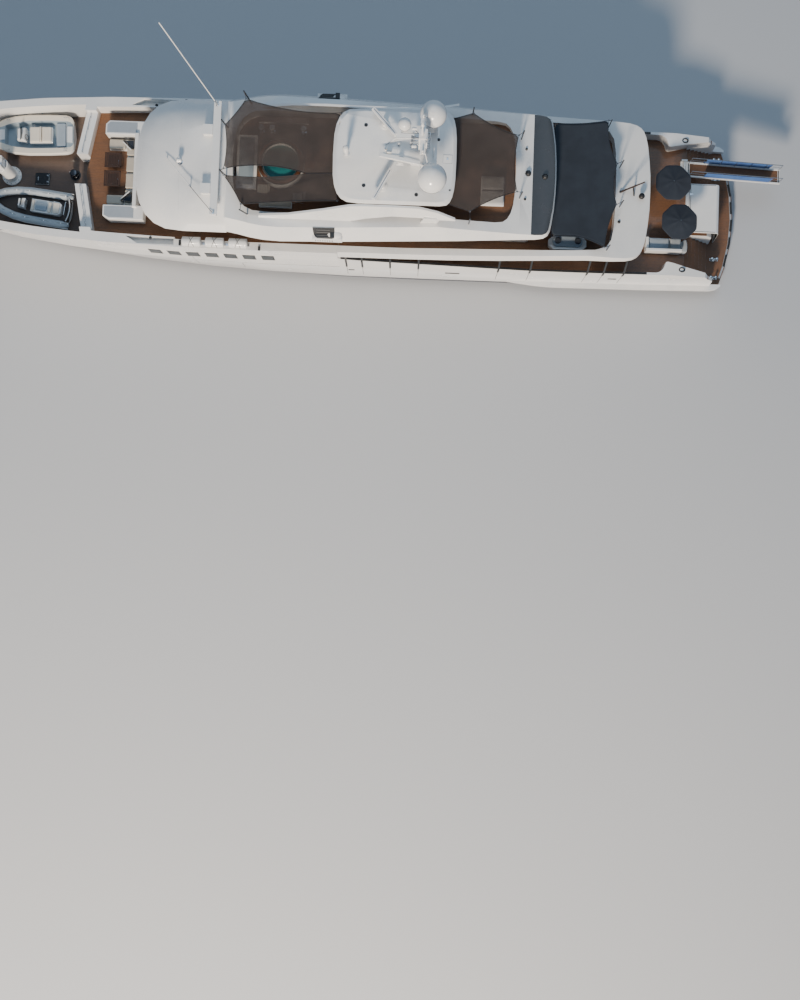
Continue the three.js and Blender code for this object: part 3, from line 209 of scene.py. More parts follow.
# Salt dulls a finish in clouds and in runs down its upright faces.
weather, given, result = node_group("salt and weather", [
    ("Vector", VECTOR, None), ("Clean", COLOUR, (1, 1, 1, 1)), ("Dulled", COLOUR, (0.6, 0.6, 0.6, 1)),
    ("Gloss", VALUE, 0.25), ("Dull", VALUE, 0.45), ("Cloud Scale", VALUE, 0.9), ("Runs", VALUE, 0.35),
    ("Grain", VALUE, 60.0)], SURFACE)
cloud = noise_of(weather, given["Vector"], given["Cloud Scale"], 6.0, Roughness=0.62)
drawn = put(weather, "ShaderNodeMapping", {"Vector": given["Vector"], "Scale": (9, 9, 0.7)})[0]
run = times(weather, ramp_of(weather, noise_of(weather, drawn, 1.6, 3.0), 0.55, 0.85), given["Runs"])
dulling = math_of(weather, "MAXIMUM", run, ramp_of(weather, cloud, 0.45, 0.95))
grain = noise_of(weather, given["Vector"], given["Grain"], 2.0)
fill(weather, result["Color"], blend_of(weather, dulling, given["Clean"], given["Dulled"]))
fill(weather, result["Roughness"], blend_of(weather, dulling, given["Gloss"], given["Dull"], "FLOAT"))
fill(weather, result["Height"], math_of(weather, "ADD", grain, times(weather, cloud, 0.6)))

# Boards run fore and aft in lanes, each board with a tone of its own and black seams round it.
planks, given, result = node_group("caulked planks", [
    ("Vector", VECTOR, None), ("Wood", COLOUR, (0.3, 0.14, 0.06, 1)), ("Worn", COLOUR, (0.2, 0.14, 0.1, 1)),
    ("Seam", COLOUR, (0.012, 0.011, 0.012, 1)), ("Width", VALUE, 0.034), ("Seam Share", VALUE, 0.13),
    ("Length", VALUE, 1.3)], SURFACE)
END_SEAM_SHARE = 0.004
axes = parts_of(planks, given["Vector"])
lane = math_of(planks, "DIVIDE", axes["Y"], given["Width"])
lane_number = math_of(planks, "FLOOR", lane)
tone = put(planks, "ShaderNodeTexWhiteNoise", {"W": lane_number}, noise_dimensions="1D")[0]
reach = math_of(planks, "ADD", math_of(planks, "DIVIDE", axes["X"], given["Length"]),
                times(planks, tone, 7.0))
board = put(planks, "ShaderNodeCombineXYZ", {"X": math_of(planks, "FLOOR", reach), "Y": lane_number})[0]
board_tone = put(planks, "ShaderNodeTexWhiteNoise", {"Vector": board}, noise_dimensions="2D")[0]
side_seam = math_of(planks, "LESS_THAN", math_of(planks, "FRACT", lane), given["Seam Share"])
end_seam = math_of(planks, "LESS_THAN", math_of(planks, "FRACT", reach), END_SEAM_SHARE)
seam = math_of(planks, "MAXIMUM", side_seam, end_seam)
fibre_place = put(planks, "ShaderNodeMapping", {"Vector": given["Vector"], "Scale": (3, 70, 70)})[0]
fibre = noise_of(planks, fibre_place, 3.0, 4.0)
patch = noise_of(planks, given["Vector"], 0.8, 5.0)
wear = math_of(planks, "ADD", times(planks, board_tone, 0.4),
               times(planks, ramp_of(planks, patch, 0.35, 0.75), 0.6))
wood = blend_of(planks, wear, given["Wood"], given["Worn"])
dark_wood = blend_of(planks, 0.55, wood, (0.03, 0.018, 0.012, 1))
wood = blend_of(planks, ramp_of(planks, fibre, 0.45, 0.8), wood, dark_wood)
fill(planks, result["Color"], blend_of(planks, seam, wood, given["Seam"]))
fill(planks, result["Roughness"], ramp_of(planks, fibre, 0.3, 0.8, 0.55, 0.8))
relief = ramp_of(planks, fibre, 0.2, 0.9, 0.6, 1.0)
fill(planks, result["Height"], math_of(planks, "SUBTRACT", relief, seam))

# Where a face looks up and lies between two levels, it is deck.
laid, given, result = node_group("laid between levels", [
    ("Vector", VECTOR, None), ("Normal", VECTOR, None), ("Low", VALUE, 0.0), ("High", VALUE, 1.0),
    ("Aft", VALUE, -20.0), ("Fore", VALUE, 20.0)], [("Mask", VALUE)])
axes = parts_of(laid, given["Vector"])
mask = math_of(laid, "GREATER_THAN", parts_of(laid, given["Normal"])["Z"], 0.97)
for axis, low, high in (("Z", "Low", "High"), ("X", "Aft", "Fore")):
    within = times(laid, math_of(laid, "GREATER_THAN", axes[axis], given[low]),
                   math_of(laid, "LESS_THAN", axes[axis], given[high]))
    mask = times(laid, mask, within)
fill(laid, result["Mask"], mask)

GEL = {"Clean": (0.83, 0.83, 0.82, 1), "Dulled": (0.66, 0.68, 0.71, 1), "Gloss": 0.2, "Dull": 0.42}
TEAK = {"Wood": (0.25, 0.11, 0.047, 1), "Worn": (0.14, 0.08, 0.05, 1)}
# The tender bay's planks are darker and greyer than the teak.
TENDER_BAY_PLANKS = {"Wood": (0.16, 0.105, 0.08, 1), "Worn": (0.11, 0.085, 0.075, 1)}


def place_effect(tree, group, vector, values):
    made = tree.nodes.new("ShaderNodeGroup")
    made.node_tree = group
    for label, value in {"Vector": vector, **values}.items():
        fill(tree, made.inputs[label], value)
    return made.outputs


def dress(name, outputs_of, bump, depth=0.002, **shader):
    """A material from a function that gives its colour, roughness and height."""
    material, tree, surface = new_material(name)
    vector = tree.nodes.new("ShaderNodeTexCoord").outputs["Object"]
    colour, roughness, height = outputs_of(tree, vector)
    fill(tree, surface["Base Color"], colour)
    fill(tree, surface["Roughness"], roughness)
    raised = put(tree, "ShaderNodeBump", {"Strength": bump, "Distance": depth, "Height": height})[0]
    fill(tree, surface["Normal"], raised)
    for label, value in shader.items():
        surface[label.replace("_", " ")].default_value = value
    return material


def plain(group, values):
    def outputs_of(tree, vector):
        out = place_effect(tree, group, vector, values)
        return out["Color"], out["Roughness"], out["Height"]
    return outputs_of


def weathered(name, clean, dulled, gloss, dull, bump, cloud=0.9, grain=60.0, **shader):
    """Paint, plastic, glass or metal under the weather, from its clean and dulled looks."""
    return dress(name, plain(weather, {"Clean": (*clean, 1), "Dulled": (*dulled, 1), "Gloss": gloss,
                                       "Dull": dull, "Cloud Scale": cloud, "Grain": grain}), bump, **shader)


# decks rows: lowest and highest level, aft and fore end, then the planks' colours.
def painted_with_decks(decks, below=None):
    def outputs_of(tree, vector):
        values = dict(GEL)
        normal = tree.nodes.new("ShaderNodeNewGeometry").outputs["True Normal"]
        if below:
            values["Clean"], values["Dulled"] = below(tree, vector)
        coat = place_effect(tree, weather, vector, values)
        looks = [(coat[label], label, kind) for label, kind in
                 (("Color", "RGBA"), ("Roughness", "FLOAT"), ("Height", "FLOAT"))]
        for low, high, aft, fore, wood in decks:
            mask = place_effect(tree, laid, vector, {"Normal": normal, "Low": low * HALF, "High": high * HALF,
                                                     "Aft": aft * HALF, "Fore": fore * HALF})["Mask"]
            boards = place_effect(tree, planks, vector, wood)
            looks = [(blend_of(tree, mask, look, boards[label], kind), label, kind)
                     for look, label, kind in looks]
        return [look for look, _, _ in looks]
    return outputs_of


# The bands of the hull: top level, then the clean and the dulled colour, from the keel up.
HULL_BANDS = [
    (-0.05, (0.028, 0.034, 0.048, 1), (0.05, 0.052, 0.05, 1)),
    (0.55, (0.012, 0.02, 0.045, 1), (0.03, 0.04, 0.06, 1)),
    (2.88, (0.83, 0.84, 0.85, 1), (0.62, 0.66, 0.7, 1)),
    # Painted shade: the thin dark band from 2.88 to 2.94 stands for the shade along a knuckle.
    (2.94, (0.03, 0.035, 0.05, 1), (0.08, 0.09, 0.1, 1)),
]


def hull_bands(tree, vector):
    level = parts_of(tree, vector)["Z"]
    clean, dulled = GEL["Clean"], (0.64, 0.67, 0.71, 1)
    for top_level, band_clean, band_dulled in reversed(HULL_BANDS):
        under = math_of(tree, "LESS_THAN", level, top_level * HALF)
        clean = blend_of(tree, under, clean, band_clean)
        dulled = blend_of(tree, under, dulled, band_dulled)
    return clean, dulled


# The coamings stay level as far aft as the knee and slope down behind it. What rises out of
# them is the awnings' dark poles.
COAMING_SLOPE = 0.133


def dark_above(level, knee):
    def colours(tree, vector):
        at = parts_of(tree, vector)
        behind = math_of(tree, "MINIMUM", math_of(tree, "SUBTRACT", at["X"], knee * HALF), 0.0)
        height = math_of(tree, "SUBTRACT", at["Z"], times(tree, behind, COAMING_SLOPE))
        over = math_of(tree, "GREATER_THAN", height, level * HALF)
        return (blend_of(tree, over, GEL["Clean"], (0.035, 0.037, 0.042, 1)),
                blend_of(tree, over, GEL["Dulled"], (0.07, 0.072, 0.08, 1)))
    return colours


def finish_mesh(mesh, materials, angle):
    for material in materials:
        mesh.materials.append(material)
    mesh.shade_smooth()
    mesh.set_sharp_from_angle(angle=math.radians(angle))


def round_edges(thing, width, angle):
    rounded = thing.modifiers.new("rounded edges", "BEVEL")
    rounded.width = width * HALF
    rounded.segments = 2
    rounded.limit_method = "ANGLE"
    rounded.angle_limit = math.radians(angle)
    rounded.harden_normals = True


def faired(node_name, material, width=0.05, angle=28):
    """A copy of a solid with its edges rounded and its curves smooth, which stands for the solid."""
    mesh = cad[node_name].data.copy()
    mesh.name = node_name + ".faired"
    work = bmesh.new()
    work.from_mesh(mesh)
    bmesh.ops.remove_doubles(work, verts=work.verts, dist=0.0003)
    bmesh.ops.dissolve_limit(work, angle_limit=math.radians(0.4), verts=work.verts, edges=work.edges)
    work.to_mesh(mesh)
    work.free()
    mesh.materials.clear()
    finish_mesh(mesh, [material], angle)
    piece = added(node_name + ".faired", mesh)
    if width:
        round_edges(piece, width, angle)
    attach(piece, cad[node_name]["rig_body"])
    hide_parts(node_name)


hull_paint = dress("hull paint", painted_with_decks([
    (0.55, 0.92, -28.1, -18.0, TEAK), (0.98, 2.7, -28.1, -18.0, TEAK), (2.55, 2.65, -25.0, -1.7, TEAK),
    (4.36, 4.42, -1.7, 24.0, TENDER_BAY_PLANKS)], below=hull_bands), bump=0.08, Coat_Weight=0.3, Coat_Roughness=0.1)
faired("hull", hull_paint, width=0.03)

# Upper works. The bulwarks, decks, houses, roof and hardtop are aluminium plate under the same
# gloss paint, with rounded edges. The walking decks inside them are laid with teak.
BRIDGE_PLANKS = (5.25, 5.35, -22, 14.5, TEAK)
white_paint = dress("white paint", plain(weather, GEL), bump=0.06, Coat_Weight=0.3, Coat_Roughness=0.12)
bridge_paint = dress("paint and bridge planks", painted_with_decks([BRIDGE_PLANKS]), bump=0.1)
bow_paint = dress("paint and bow planks", painted_with_decks([(5.55, 5.65, 22, 28, TEAK)]), bump=0.1)
sundeck_paint = dress("paint and sundeck planks", painted_with_decks(
    [(7.95, 8.03, -13, 5, TEAK)], below=dark_above(8.94, -8.0)), bump=0.1)
upper_paint = dress("paint and upper planks", painted_with_decks(
    [BRIDGE_PLANKS], below=dark_above(6.24, -17.5)), bump=0.1)
for node_name, material, width in [
        ("bridge_deck", bridge_paint, 0.0), ("bow_deck", bow_paint, 0.0), ("upper_deck", upper_paint, 0.05),
        ("sundeck", sundeck_paint, 0.06), ("bow_bulwark", white_paint, 0.05),
        ("main_bulwark_port", white_paint, 0.05), ("main_bulwark_starboard", white_paint, 0.05),
        ("main_house_walls", white_paint, 0.02), ("upper_house_walls", white_paint, 0.02),
        ("wheelhouse_walls", white_paint, 0.02), ("wheelhouse_roof", white_paint, 0.06),
        ("hardtop", white_paint, 0.04), ("hardtop_arm_port", white_paint, 0.03),
        ("hardtop_arm_starboard", white_paint, 0.03), ("mast", white_paint, 0.03)]:
    faired(node_name, material, width)

# Running gear. Two five-bladed bronze propellers on steel shafts, cast and polished, and two
# welded rudders painted with the same antifouling as the bottom.
bronze = weathered("cast bronze", (0.5, 0.31, 0.12), (0.2, 0.17, 0.1), 0.25, 0.55, bump=0.1, cloud=6.0,
                   Metallic=1.0)
antifouling = weathered("antifouling", (0.028, 0.034, 0.048), (0.06, 0.062, 0.055), 0.6, 0.8, bump=0.3)
for side, _ in SIDES:
    faired(f"propeller_{side}", bronze, width=0.02)
    faired(f"rudder_{side}", antifouling, width=0.04)

# Anchors. Stainless steel, cast and polished, drawn up into round pockets in the bow. A steel
# ring is welded round each pocket's mouth against chafe.
UP = Vector((0, 0, 1))


def circle(count, radius, at=(0, 0), start=0.0):
    """x and y of points at even steps round a centre."""
    turns = [start + 2 * math.pi * k / count for k in range(count)]
    return [(at[0] + radius * math.cos(a), at[1] + radius * math.sin(a)) for a in turns]


def placed(at, turn=0.0, axis="Z"):
    return Matrix.Translation(at) @ Matrix.Rotation(turn, 4, axis)


class Maker:
    """Closed shapes in metres of the real yacht, gathered for one piece. slot is the index of a
    shape's material, and turned_by is laid on each shape as it is added."""

    def __init__(self, *materials):
        self.work = bmesh.new()
        self.materials = materials
        self.turned_by = Matrix()

    def loft(self, rings, slot=0, capped=True):
        rows = [[self.work.verts.new(self.turned_by @ Vector(p)) for p in ring] for ring in rings]
        count = len(rows[0])
        slots = slot if isinstance(slot, list) else [slot] * count
        for low, high in zip(rows, rows[1:]):
            for i in range(count):
                j = (i + 1) % count
                self.work.faces.new((low[i], low[j], high[j], high[i])).material_index = slots[i]
        if capped:
            for ring in (rows[0][::-1], rows[-1]):
                self.work.faces.new(ring).material_index = slots[0]

    def prism(self, outline, low, high, slot=0):
        self.loft([[(x, y, z) for x, y in outline] for z in (low, high)], slot)

    def box(self, one_corner, other_corner, slot=0):
        xs, ys, zs = (sorted(pair) for pair in zip(one_corner, other_corner))
        self.prism(block(*xs, *ys), *zs, slot)

    def rod(self, points, radius, slot=0, sides=8):
        """radius is one number, or a list with one for each point."""
        points = [Vector(p) for p in points]
        radii = radius if isinstance(radius, list) else [radius] * len(points)
        side = (points[1] - points[0]).orthogonal().normalized()
        rings = []
        for i, point in enumerate(points):
            along = (points[min(i + 1, len(points) - 1)] - points[max(i - 1, 0)]).normalized()
            side = (side - along * side.dot(along)).normalized()
            up = along.cross(side)
            rings.append([point + (side * c + up * s) * radii[i] for c, s in circle(sides, 1)])
        self.loft(rings, slot)

    def turned(self, at, profile, slot=0, sides=24):
        """profile has rows of radius and height, from the foot up."""
        self.loft([[(x, y, at[2] + height) for x, y in circle(sides, radius, at)]
                   for radius, height in profile], slot)

    def ring(self, at, radius, thickness, slot=0, steps=32, normal=(0, 0, 1)):
        spin = UP.rotation_difference(Vector(normal)).to_matrix()
        section = circle(8, thickness, (radius, 0))
        loops = [[Vector(at) + spin @ Vector((c * reach, s * reach, rise)) for reach, rise in section]
                 for c, s in circle(steps, 1)]
        self.loft(loops + [loops[0]], slot, capped=False)

    def piece(self, name, body="yacht", edge=0.0, angle=35, replaces=()):
        bmesh.ops.remove_doubles(self.work, verts=self.work.verts, dist=1e-5)
        bmesh.ops.recalc_face_normals(self.work, faces=self.work.faces)
        bmesh.ops.scale(self.work, vec=(HALF, HALF, HALF), verts=self.work.verts)
        mesh = bpy.data.meshes.new(name)
        self.work.to_mesh(mesh)
        self.work.free()
        finish_mesh(mesh, self.materials, angle)
        thing = added(name, mesh)
        if edge:
            round_edges(thing, edge, angle)
        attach(thing, body)
        if replaces:
            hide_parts(*replaces)
        return thing


def block(x0, x1, y0, y1):
    return [(x0, y0), (x1, y0), (x1, y1), (x0, y1)]


def skin_of(*names):
    """What a ray meets on these solids, in metres of the real yacht."""
    corners, faces = [], []
    for name in names:
        start = len(corners)
        corners += [v.co / HALF for v in cad[name].data.vertices]
        faces += [[start + i for i in face.vertices] for face in cad[name].data.polygons]
    return BVHTree.FromPolygons(corners, faces)


side_skin = skin_of("hull", "bridge_deck", "bow_deck", "bow_bulwark", "main_bulwark_port",
                    "main_bulwark_starboard")


def side_at(x, z, hand, skin=side_skin):
    """The place and the outward normal of the yacht's side at x and z."""
    place, normal = skin.ray_cast(Vector((x, hand * 9, z)), Vector((0, -hand, 0)))[:2]
    return place, normal if normal.y * hand > 0 else -normal


def top_of(skin, x, y):
    return skin.ray_cast(Vector((x, y, 12)), -UP)[0]


steel = weathered("polished steel", (0.62, 0.63, 0.65), (0.4, 0.41, 0.43), 0.12, 0.35, bump=0.04, cloud=5.0,
                  Metallic=1.0)
for side, hand in SIDES:
    faired(f"anchor_{side}", steel, width=0.03)
    mouth = Maker(steel)
    aft_rim, fore_rim = (side_at(x, 3.65, hand)[0] for x in (22.95, 24.25))
    mouth.ring((aft_rim + fore_rim) / 2, 0.6, 0.035, normal=(fore_rim - aft_rim).cross(UP).normalized())
    mouth.piece(f"anchor_ring_{side}")

# Hull windows. Seven square panes of dark glass a side, bonded flush in the plating under the
# wheelhouse, each with a thin rubber gasket.
black_glass = weathered("black glass", (0.006, 0.014, 0.02), (0.012, 0.022, 0.03), 0.1, 0.24, bump=0.02,
                        Specular_IOR_Level=0.25)
grey_fin = weathered("grey fins", (0.12, 0.12, 0.125), (0.2, 0.2, 0.2), 0.4, 0.6, bump=0.1)
rubber_and_shade = weathered("black rubber", (0.015, 0.015, 0.017), (0.05, 0.05, 0.052), 0.5, 0.75, bump=0.2, cloud=4.0)
PANES = 7
PANE_FORE_X = 10.25
PANE_PITCH = 1.2
PANE_LENGTH = 0.71
PANE_FOOT_Z = 3.95
PANE_HEIGHT = 0.95
# The gasket and the pane: how far each reaches past the opening and stands out, then its slot.
PANE_LAYERS = [(0.05, 0.008, 1), (0.0, 0.018, 0)]
for side, hand in SIDES:
    panes = Maker(black_glass, rubber_and_shade)
    for i in range(PANES):
        for margin, lift, slot in PANE_LAYERS:
            rings = []
            for row in range(5):
                z = PANE_FOOT_Z - margin + row / 4 * (PANE_HEIGHT + 2 * margin)
                fore = PANE_FORE_X - i * PANE_PITCH + margin
                met = [side_at(fore - (PANE_LENGTH + 2 * margin) * k / 4, z, hand) for k in range(5)]
                rings.append([place + normal * lift for place, normal in met]
                             + [place - normal * 0.02 for place, normal in met][::-1])
            panes.loft(rings, slot)
    panes.piece(f"hull_windows_{side}")

# Side details. Dark posts carry the upper deck over the side decks, each with a plate joint below.
# Louvred vents, oval fairleads and cap rollers are bolted on. A black rubber strip along the bulwarks'
# caps is painted shade: it stands for the dark gap under the upper deck.
sealant_and_shade_black = weathered("joint sealant and painted shade", (0.02, 0.022, 0.026), (0.05, 0.055, 0.06), 0.5, 0.7, bump=0.1)
POST_XS = [-2.28, -3.3, -5.1, -6.93, -12.1, -14.15, -17.85, -18.9, -20.2]
CAP_XS = [-1.95, -2.6, -3.3, -4.2, -5.1, -6.2, -7.3, -8.4, -9.5, -10.6, -12, -14, -16, -18, -20, -21.7]
# x, z and length.
VENTS = [(-2.55, 2.25, 0.4), (-9.18, 2.3, 0.95), (-19.7, 2.24, 0.55)]
# x, lowest and highest level.
PLATE_JOINTS = [(x, 1.15, 3.1) for x in POST_XS] + [(7.65, 1.3, 3.8), (4.6, 1.2, 2.75)]
STERN_LEAD = (-23.99, 4.25)
bulwark_skin = skin_of("main_bulwark_port", "main_bulwark_starboard")
upper_skin = skin_of("upper_deck")


def rail_at(x, z, hand):
    """y of the bulwark's side at x and z, and the level of its cap there."""
    rail_y = side_at(x, z, hand)[0].y
    return rail_y, top_of(bulwark_skin, x, rail_y - hand * 0.08).z


for side, hand in SIDES:
    posts = Maker(sealant_and_shade_black)
    for x in POST_XS:
        rail_y, cap_z = rail_at(x, 3.1, hand)
        deck_y = side_at(x, 4.96, hand, upper_skin)[0].y
        foot_y = rail_y + hand * 0.03
        rows = [(foot_y, 3.1), (foot_y, cap_z + 0.01), (deck_y - hand * 0.03, 4.955)]
        posts.loft([[(a, b, z) for a, b in block(x - 0.06, x + 0.06, y, y - hand * 0.12)] for y, z in rows])
    posts.piece(f"side_posts_{side}", edge=0.01)
    # Painted shade: this black strip on the cap stands for the dark gap under the upper deck.
    cap_shade_strip = Maker(rubber_and_shade)
    rings = []
    for x in CAP_XS:
        rail_y, cap_z = rail_at(x, 3.3, hand)
        rings.append([(x, rail_y - hand * inset, cap_z + rise) for inset, rise in
                      ((0.015, -0.02), (0.015, 0.03), (0.155, 0.03), (0.155, -0.02))])
    cap_shade_strip.loft(rings)
    cap_shade_strip.piece(f"bulwark_cap_shade_strip_{side}", edge=0.01)
    leads = Maker(steel, sealant_and_shade_black, grey_fin)
    for x, z in ((19.5, 5.95), (25.6, 6.05)):
        at, out_of = side_at(x, z, hand)
        spin = UP.rotation_difference(out_of).to_matrix().to_4x4()
        along_x = abs(spin[0][0]) > abs(spin[0][1])
        wide = Matrix.Diagonal((1.7, 1.0, 1.0, 1.0) if along_x else (1.0, 1.7, 1.0, 1.0))
        leads.turned_by = Matrix.Translation(at) @ spin @ wide
        leads.ring((0, 0, 0.01), 0.17, 0.035)
        leads.turned((0, 0, -0.02), [(0.16, 0), (0.16, 0.025)], slot=1)
    x, y = STERN_LEAD[0], hand * STERN_LEAD[1]
    leads.turned_by = Matrix.Translation((x, y, 0)) @ Matrix.Diagonal((1.35, 1.0, 1.0, 1.0))
    leads.ring((0, 0, top_of(bulwark_skin, x, y).z + 0.01), 0.13, 0.04, slot=1)
    leads.turned_by = Matrix()
    for x, z, length in VENTS:
        y = side_at(x, z, hand)[0].y
        reach = length / 2
        leads.box((x - reach, y - 0.012, z - 0.1), (x + reach, y + 0.012, z + 0.1), slot=1)
        for fin_z in (z - 0.05, z, z + 0.05):
            leads.box((x - reach + 0.03, y - 0.018, fin_z - 0.008),
                      (x + reach - 0.03, y + 0.018, fin_z + 0.008), slot=2)
    for x, y0, y1 in ((8.0, 4.28, 4.62), (3.05, 4.5, 4.76)):
        leads.box((x - 0.07, hand * y0, 6.19), (x + 0.07, hand * y1, 6.29), slot=1)
    leads.turned((9.85, hand * 4.2, 6.19), [(0.09, 0), (0.09, 0.06), (0.05, 0.1)], slot=1, sides=16)
    leads.piece(f"fairleads_{side}")
    joints = Maker(sealant_and_shade_black)
    for x, low, high in PLATE_JOINTS:
        rings = []
        for k in range(6):
            at, out_of = side_at(x, low + (high - low) * k / 5, hand)
            rings.append([at + out_of * lift + Vector((dx, 0, 0)) for lift, dx in
                          ((0.006, -0.012), (0.006, 0.012), (-0.02, 0.012), (-0.02, -0.012))])
        joints.loft(rings)
    joints.piece(f"plate_joints_{side}")

# Stern platform. Its edge is a grey moulding with black fender strips let into it. Bollards
# are bolted to the teak.
grey_trim_and_shade = weathered("grey moulding and painted shade", (0.34, 0.38, 0.43), (0.24, 0.27, 0.3), 0.35, 0.6, bump=0.15)
BOLLARD = [(0.09, 0), (0.075, 0.05), (0.06, 0.1), (0.06, 0.26), (0.09, 0.3), (0.085, 0.33), (0.03, 0.345)]
edge_rail = Maker(grey_trim_and_shade, rubber_and_shade)
stern_edge = [side_skin.ray_cast(Vector((-32, y / 10, 0.5)), Vector((1, 0, 0)))[0] for y in range(-40, 41, 4)]
edge_rail.rod([p + Vector((0.05, 0, 0.08)) for p in stern_edge], 0.07, sides=10)
for start in range(1, 19, 3):
    edge_rail.rod([p + Vector((0.02, 0, 0.1)) for p in stern_edge[start:start + 3]], 0.085, slot=1)
edge_rail.piece("platform_edge")
bollards = Maker(steel)
for x, y in ((-26.8, 2.75), (-26.75, 4.0), (-26.8, -2.75), (-26.75, -4.0)):
    for dx in (-0.16, 0.16):
        bollards.turned((x + dx, y, 0.6), BOLLARD, sides=16)
    bollards.box((x - 0.28, y - 0.1, 0.6), (x + 0.28, y + 0.1, 0.625))
bollards.piece("platform_bollards", edge=0.008)

# House glass. Dark tinted panes bonded behind the window openings. The sliding and wing doors
# are framed in white aluminium, with a steel handle on each leaf.
house_glass = weathered("tinted glass", (0.016, 0.024, 0.032), (0.04, 0.05, 0.06), 0.03, 0.14, bump=0.02,
                        Coat_Weight=0.6)
PROUD = 0.004
for name in ("main_house_glass", "upper_house_glass"):
    cad[name].data.materials[0] = house_glass
for name, grip_z in (("salon_door", 3.4), ("upper_door", 6.1)):
    for side, hand in SIDES:
        door = f"{name}_{side}"
        low, high = (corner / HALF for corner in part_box(door))
        cad[door].data.materials[0] = house_glass
        leaf = Maker(white_paint, steel)
        aft, fore = low.x - PROUD, high.x + PROUD
        for y0, y1 in ((low.y, low.y + 0.09), (high.y - 0.09, high.y)):
            leaf.box((aft, y0, low.z), (fore, y1, high.z))
        for z0, z1 in ((low.z, low.z + 0.14), (high.z - 0.1, high.z)):
            leaf.box((aft, low.y, z0), (fore, high.y, z1))
        grip_y = low.y + 0.16 if hand > 0 else high.y - 0.16
        leaf.rod([(low.x - out, grip_y, grip_z + rise) for out, rise in
                  ((0.008, 0.0), (0.045, 0.05), (0.045, 0.6), (0.008, 0.65))], 0.018, slot=1)
        leaf.piece(f"{door}_frame", body=door, edge=0.006)
for side, hand in SIDES:
    door = f"wing_door_{side}"
    low, high = (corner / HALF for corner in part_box(door))
    cad[door].data.materials[0] = white_paint
    face = high.y if hand > 0 else low.y
    leaf = Maker(house_glass, steel)
    leaf.box((low.x + 0.2, face, 6.3), (high.x - 0.2, face + hand * 0.006, 7.2))
    leaf.rod([(low.x + 0.1, face + hand * out, z) for out, z in
              ((0, 6.0), (0.012, 6.02), (0.012, 6.2), (0, 6.22))], 0.012, slot=1)
    leaf.piece(f"{door}_light", body=door, edge=0.004)

# Transom door. One white shell of glassfibre closes the beach garage: a flat lid, a rounded edge
# and a steep face. It hinges at its fore edge on two goosenecks, and a rubber seal lies round it.
faired("transom_door", white_paint, width=0.04)
shell = Maker(rubber_and_shade, steel)
shell.turned_by = placed((-24.5, 0, 2.91), -0.0168, "Y")
for y in (-1.56, 1.53):
    shell.box((-1.74, y, -0.01), (-0.06, y + 0.03, 0.006))
shell.box((-0.09, -1.56, -0.01), (-0.06, 1.56, 0.006))
for y in (-0.9, 0.9):
    shell.box((-0.24, y - 0.08, -0.01), (0.0, y + 0.08, 0.03), slot=1)
shell.turned_by = placed((-26.53, 0, 2.56), math.atan2(0.18, 1.9), "Y")
for y in (-0.5, 0.5):
    shell.box((-0.03, y - 0.14, -1.62), (0.01, y + 0.14, -1.56), slot=1)
for y in (-1.56, 1.53):
    shell.box((-0.008, y, -1.86), (0.01, y + 0.03, -0.08))
shell.piece("transom_door_trim", body="transom_door", edge=0.005)

# Passerelle. A boarding bridge of aluminium with a teak tread, a stanchion rail down each side,
# and a blue canvas dodger laced to each rail.
GEOMETRY = ("Geometry", "NodeSocketGeometry")
FINISH = ("Finish", "NodeSocketMaterial", None)
railing, given, result = node_group("railing", [
    (*GEOMETRY, None), ("Height", VALUE, 0.5), ("Rail Radius", VALUE, 0.012), ("Post Radius", VALUE, 0.01),
    ("Post Gap", VALUE, 0.5), ("Middle Share", VALUE, 0.5), ("Middle Radius", VALUE, 0.006), FINISH],
    [GEOMETRY], kind="GeometryNodeTree")
path = put(railing, "GeometryNodeMeshToCurve", {"Mesh": given["Geometry"]})[0]
bars = []
for share, radius in ((1.0, given["Rail Radius"]), (given["Middle Share"], given["Middle Radius"])):
    rise = put(railing, "ShaderNodeCombineXYZ", {"Z": times(railing, given["Height"], share)})[0]
    lifted = put(railing, "GeometryNodeSetPosition", {"Geometry": path, "Offset": rise})[0]
    section = put(railing, "GeometryNodeCurvePrimitiveCircle", {"Resolution": 8, "Radius": radius})[0]
    bars.append(put(railing, "GeometryNodeCurveToMesh", {"Curve": lifted, "Profile Curve": section,
                                                         "Fill Caps": True})[0])
feet = put(railing, "GeometryNodeCurveToPoints", {"Curve": path, "Length": given["Post Gap"]},
           mode="LENGTH")[0]
post = put(railing, "GeometryNodeMeshCylinder", {"Vertices": 8, "Radius": given["Post Radius"],
                                                 "Depth": given["Height"]})[0]
raised = put(railing, "ShaderNodeCombineXYZ", {"Z": times(railing, given["Height"], 0.5)})[0]
post = put(railing, "GeometryNodeTransform", {"Geometry": post, "Translation": raised})[0]
bars.append(put(railing, "GeometryNodeInstanceOnPoints", {"Points": feet, "Instance": post})[0])
gathered = railing.nodes.new("GeometryNodeJoinGeometry")
for source in bars:
    railing.links.new(source, gathered.inputs[0])
whole = put(railing, "GeometryNodeRealizeInstances", {"Geometry": gathered.outputs[0]})[0]
whole = put(railing, "GeometryNodeSetShadeSmooth", {"Geometry": whole})[0]
fill(railing, result["Geometry"], put(railing, "GeometryNodeSetMaterial", {
    "Geometry": whole, "Material": given["Finish"]})[0])


def baked(thing):
    """Gives an object the mesh that its modifiers make, in their place."""
    graph = bpy.context.evaluated_depsgraph_get()
    mesh = bpy.data.meshes.new_from_object(thing.evaluated_get(graph), depsgraph=graph)
    thing.modifiers.clear()
    thing.data = mesh
    return mesh


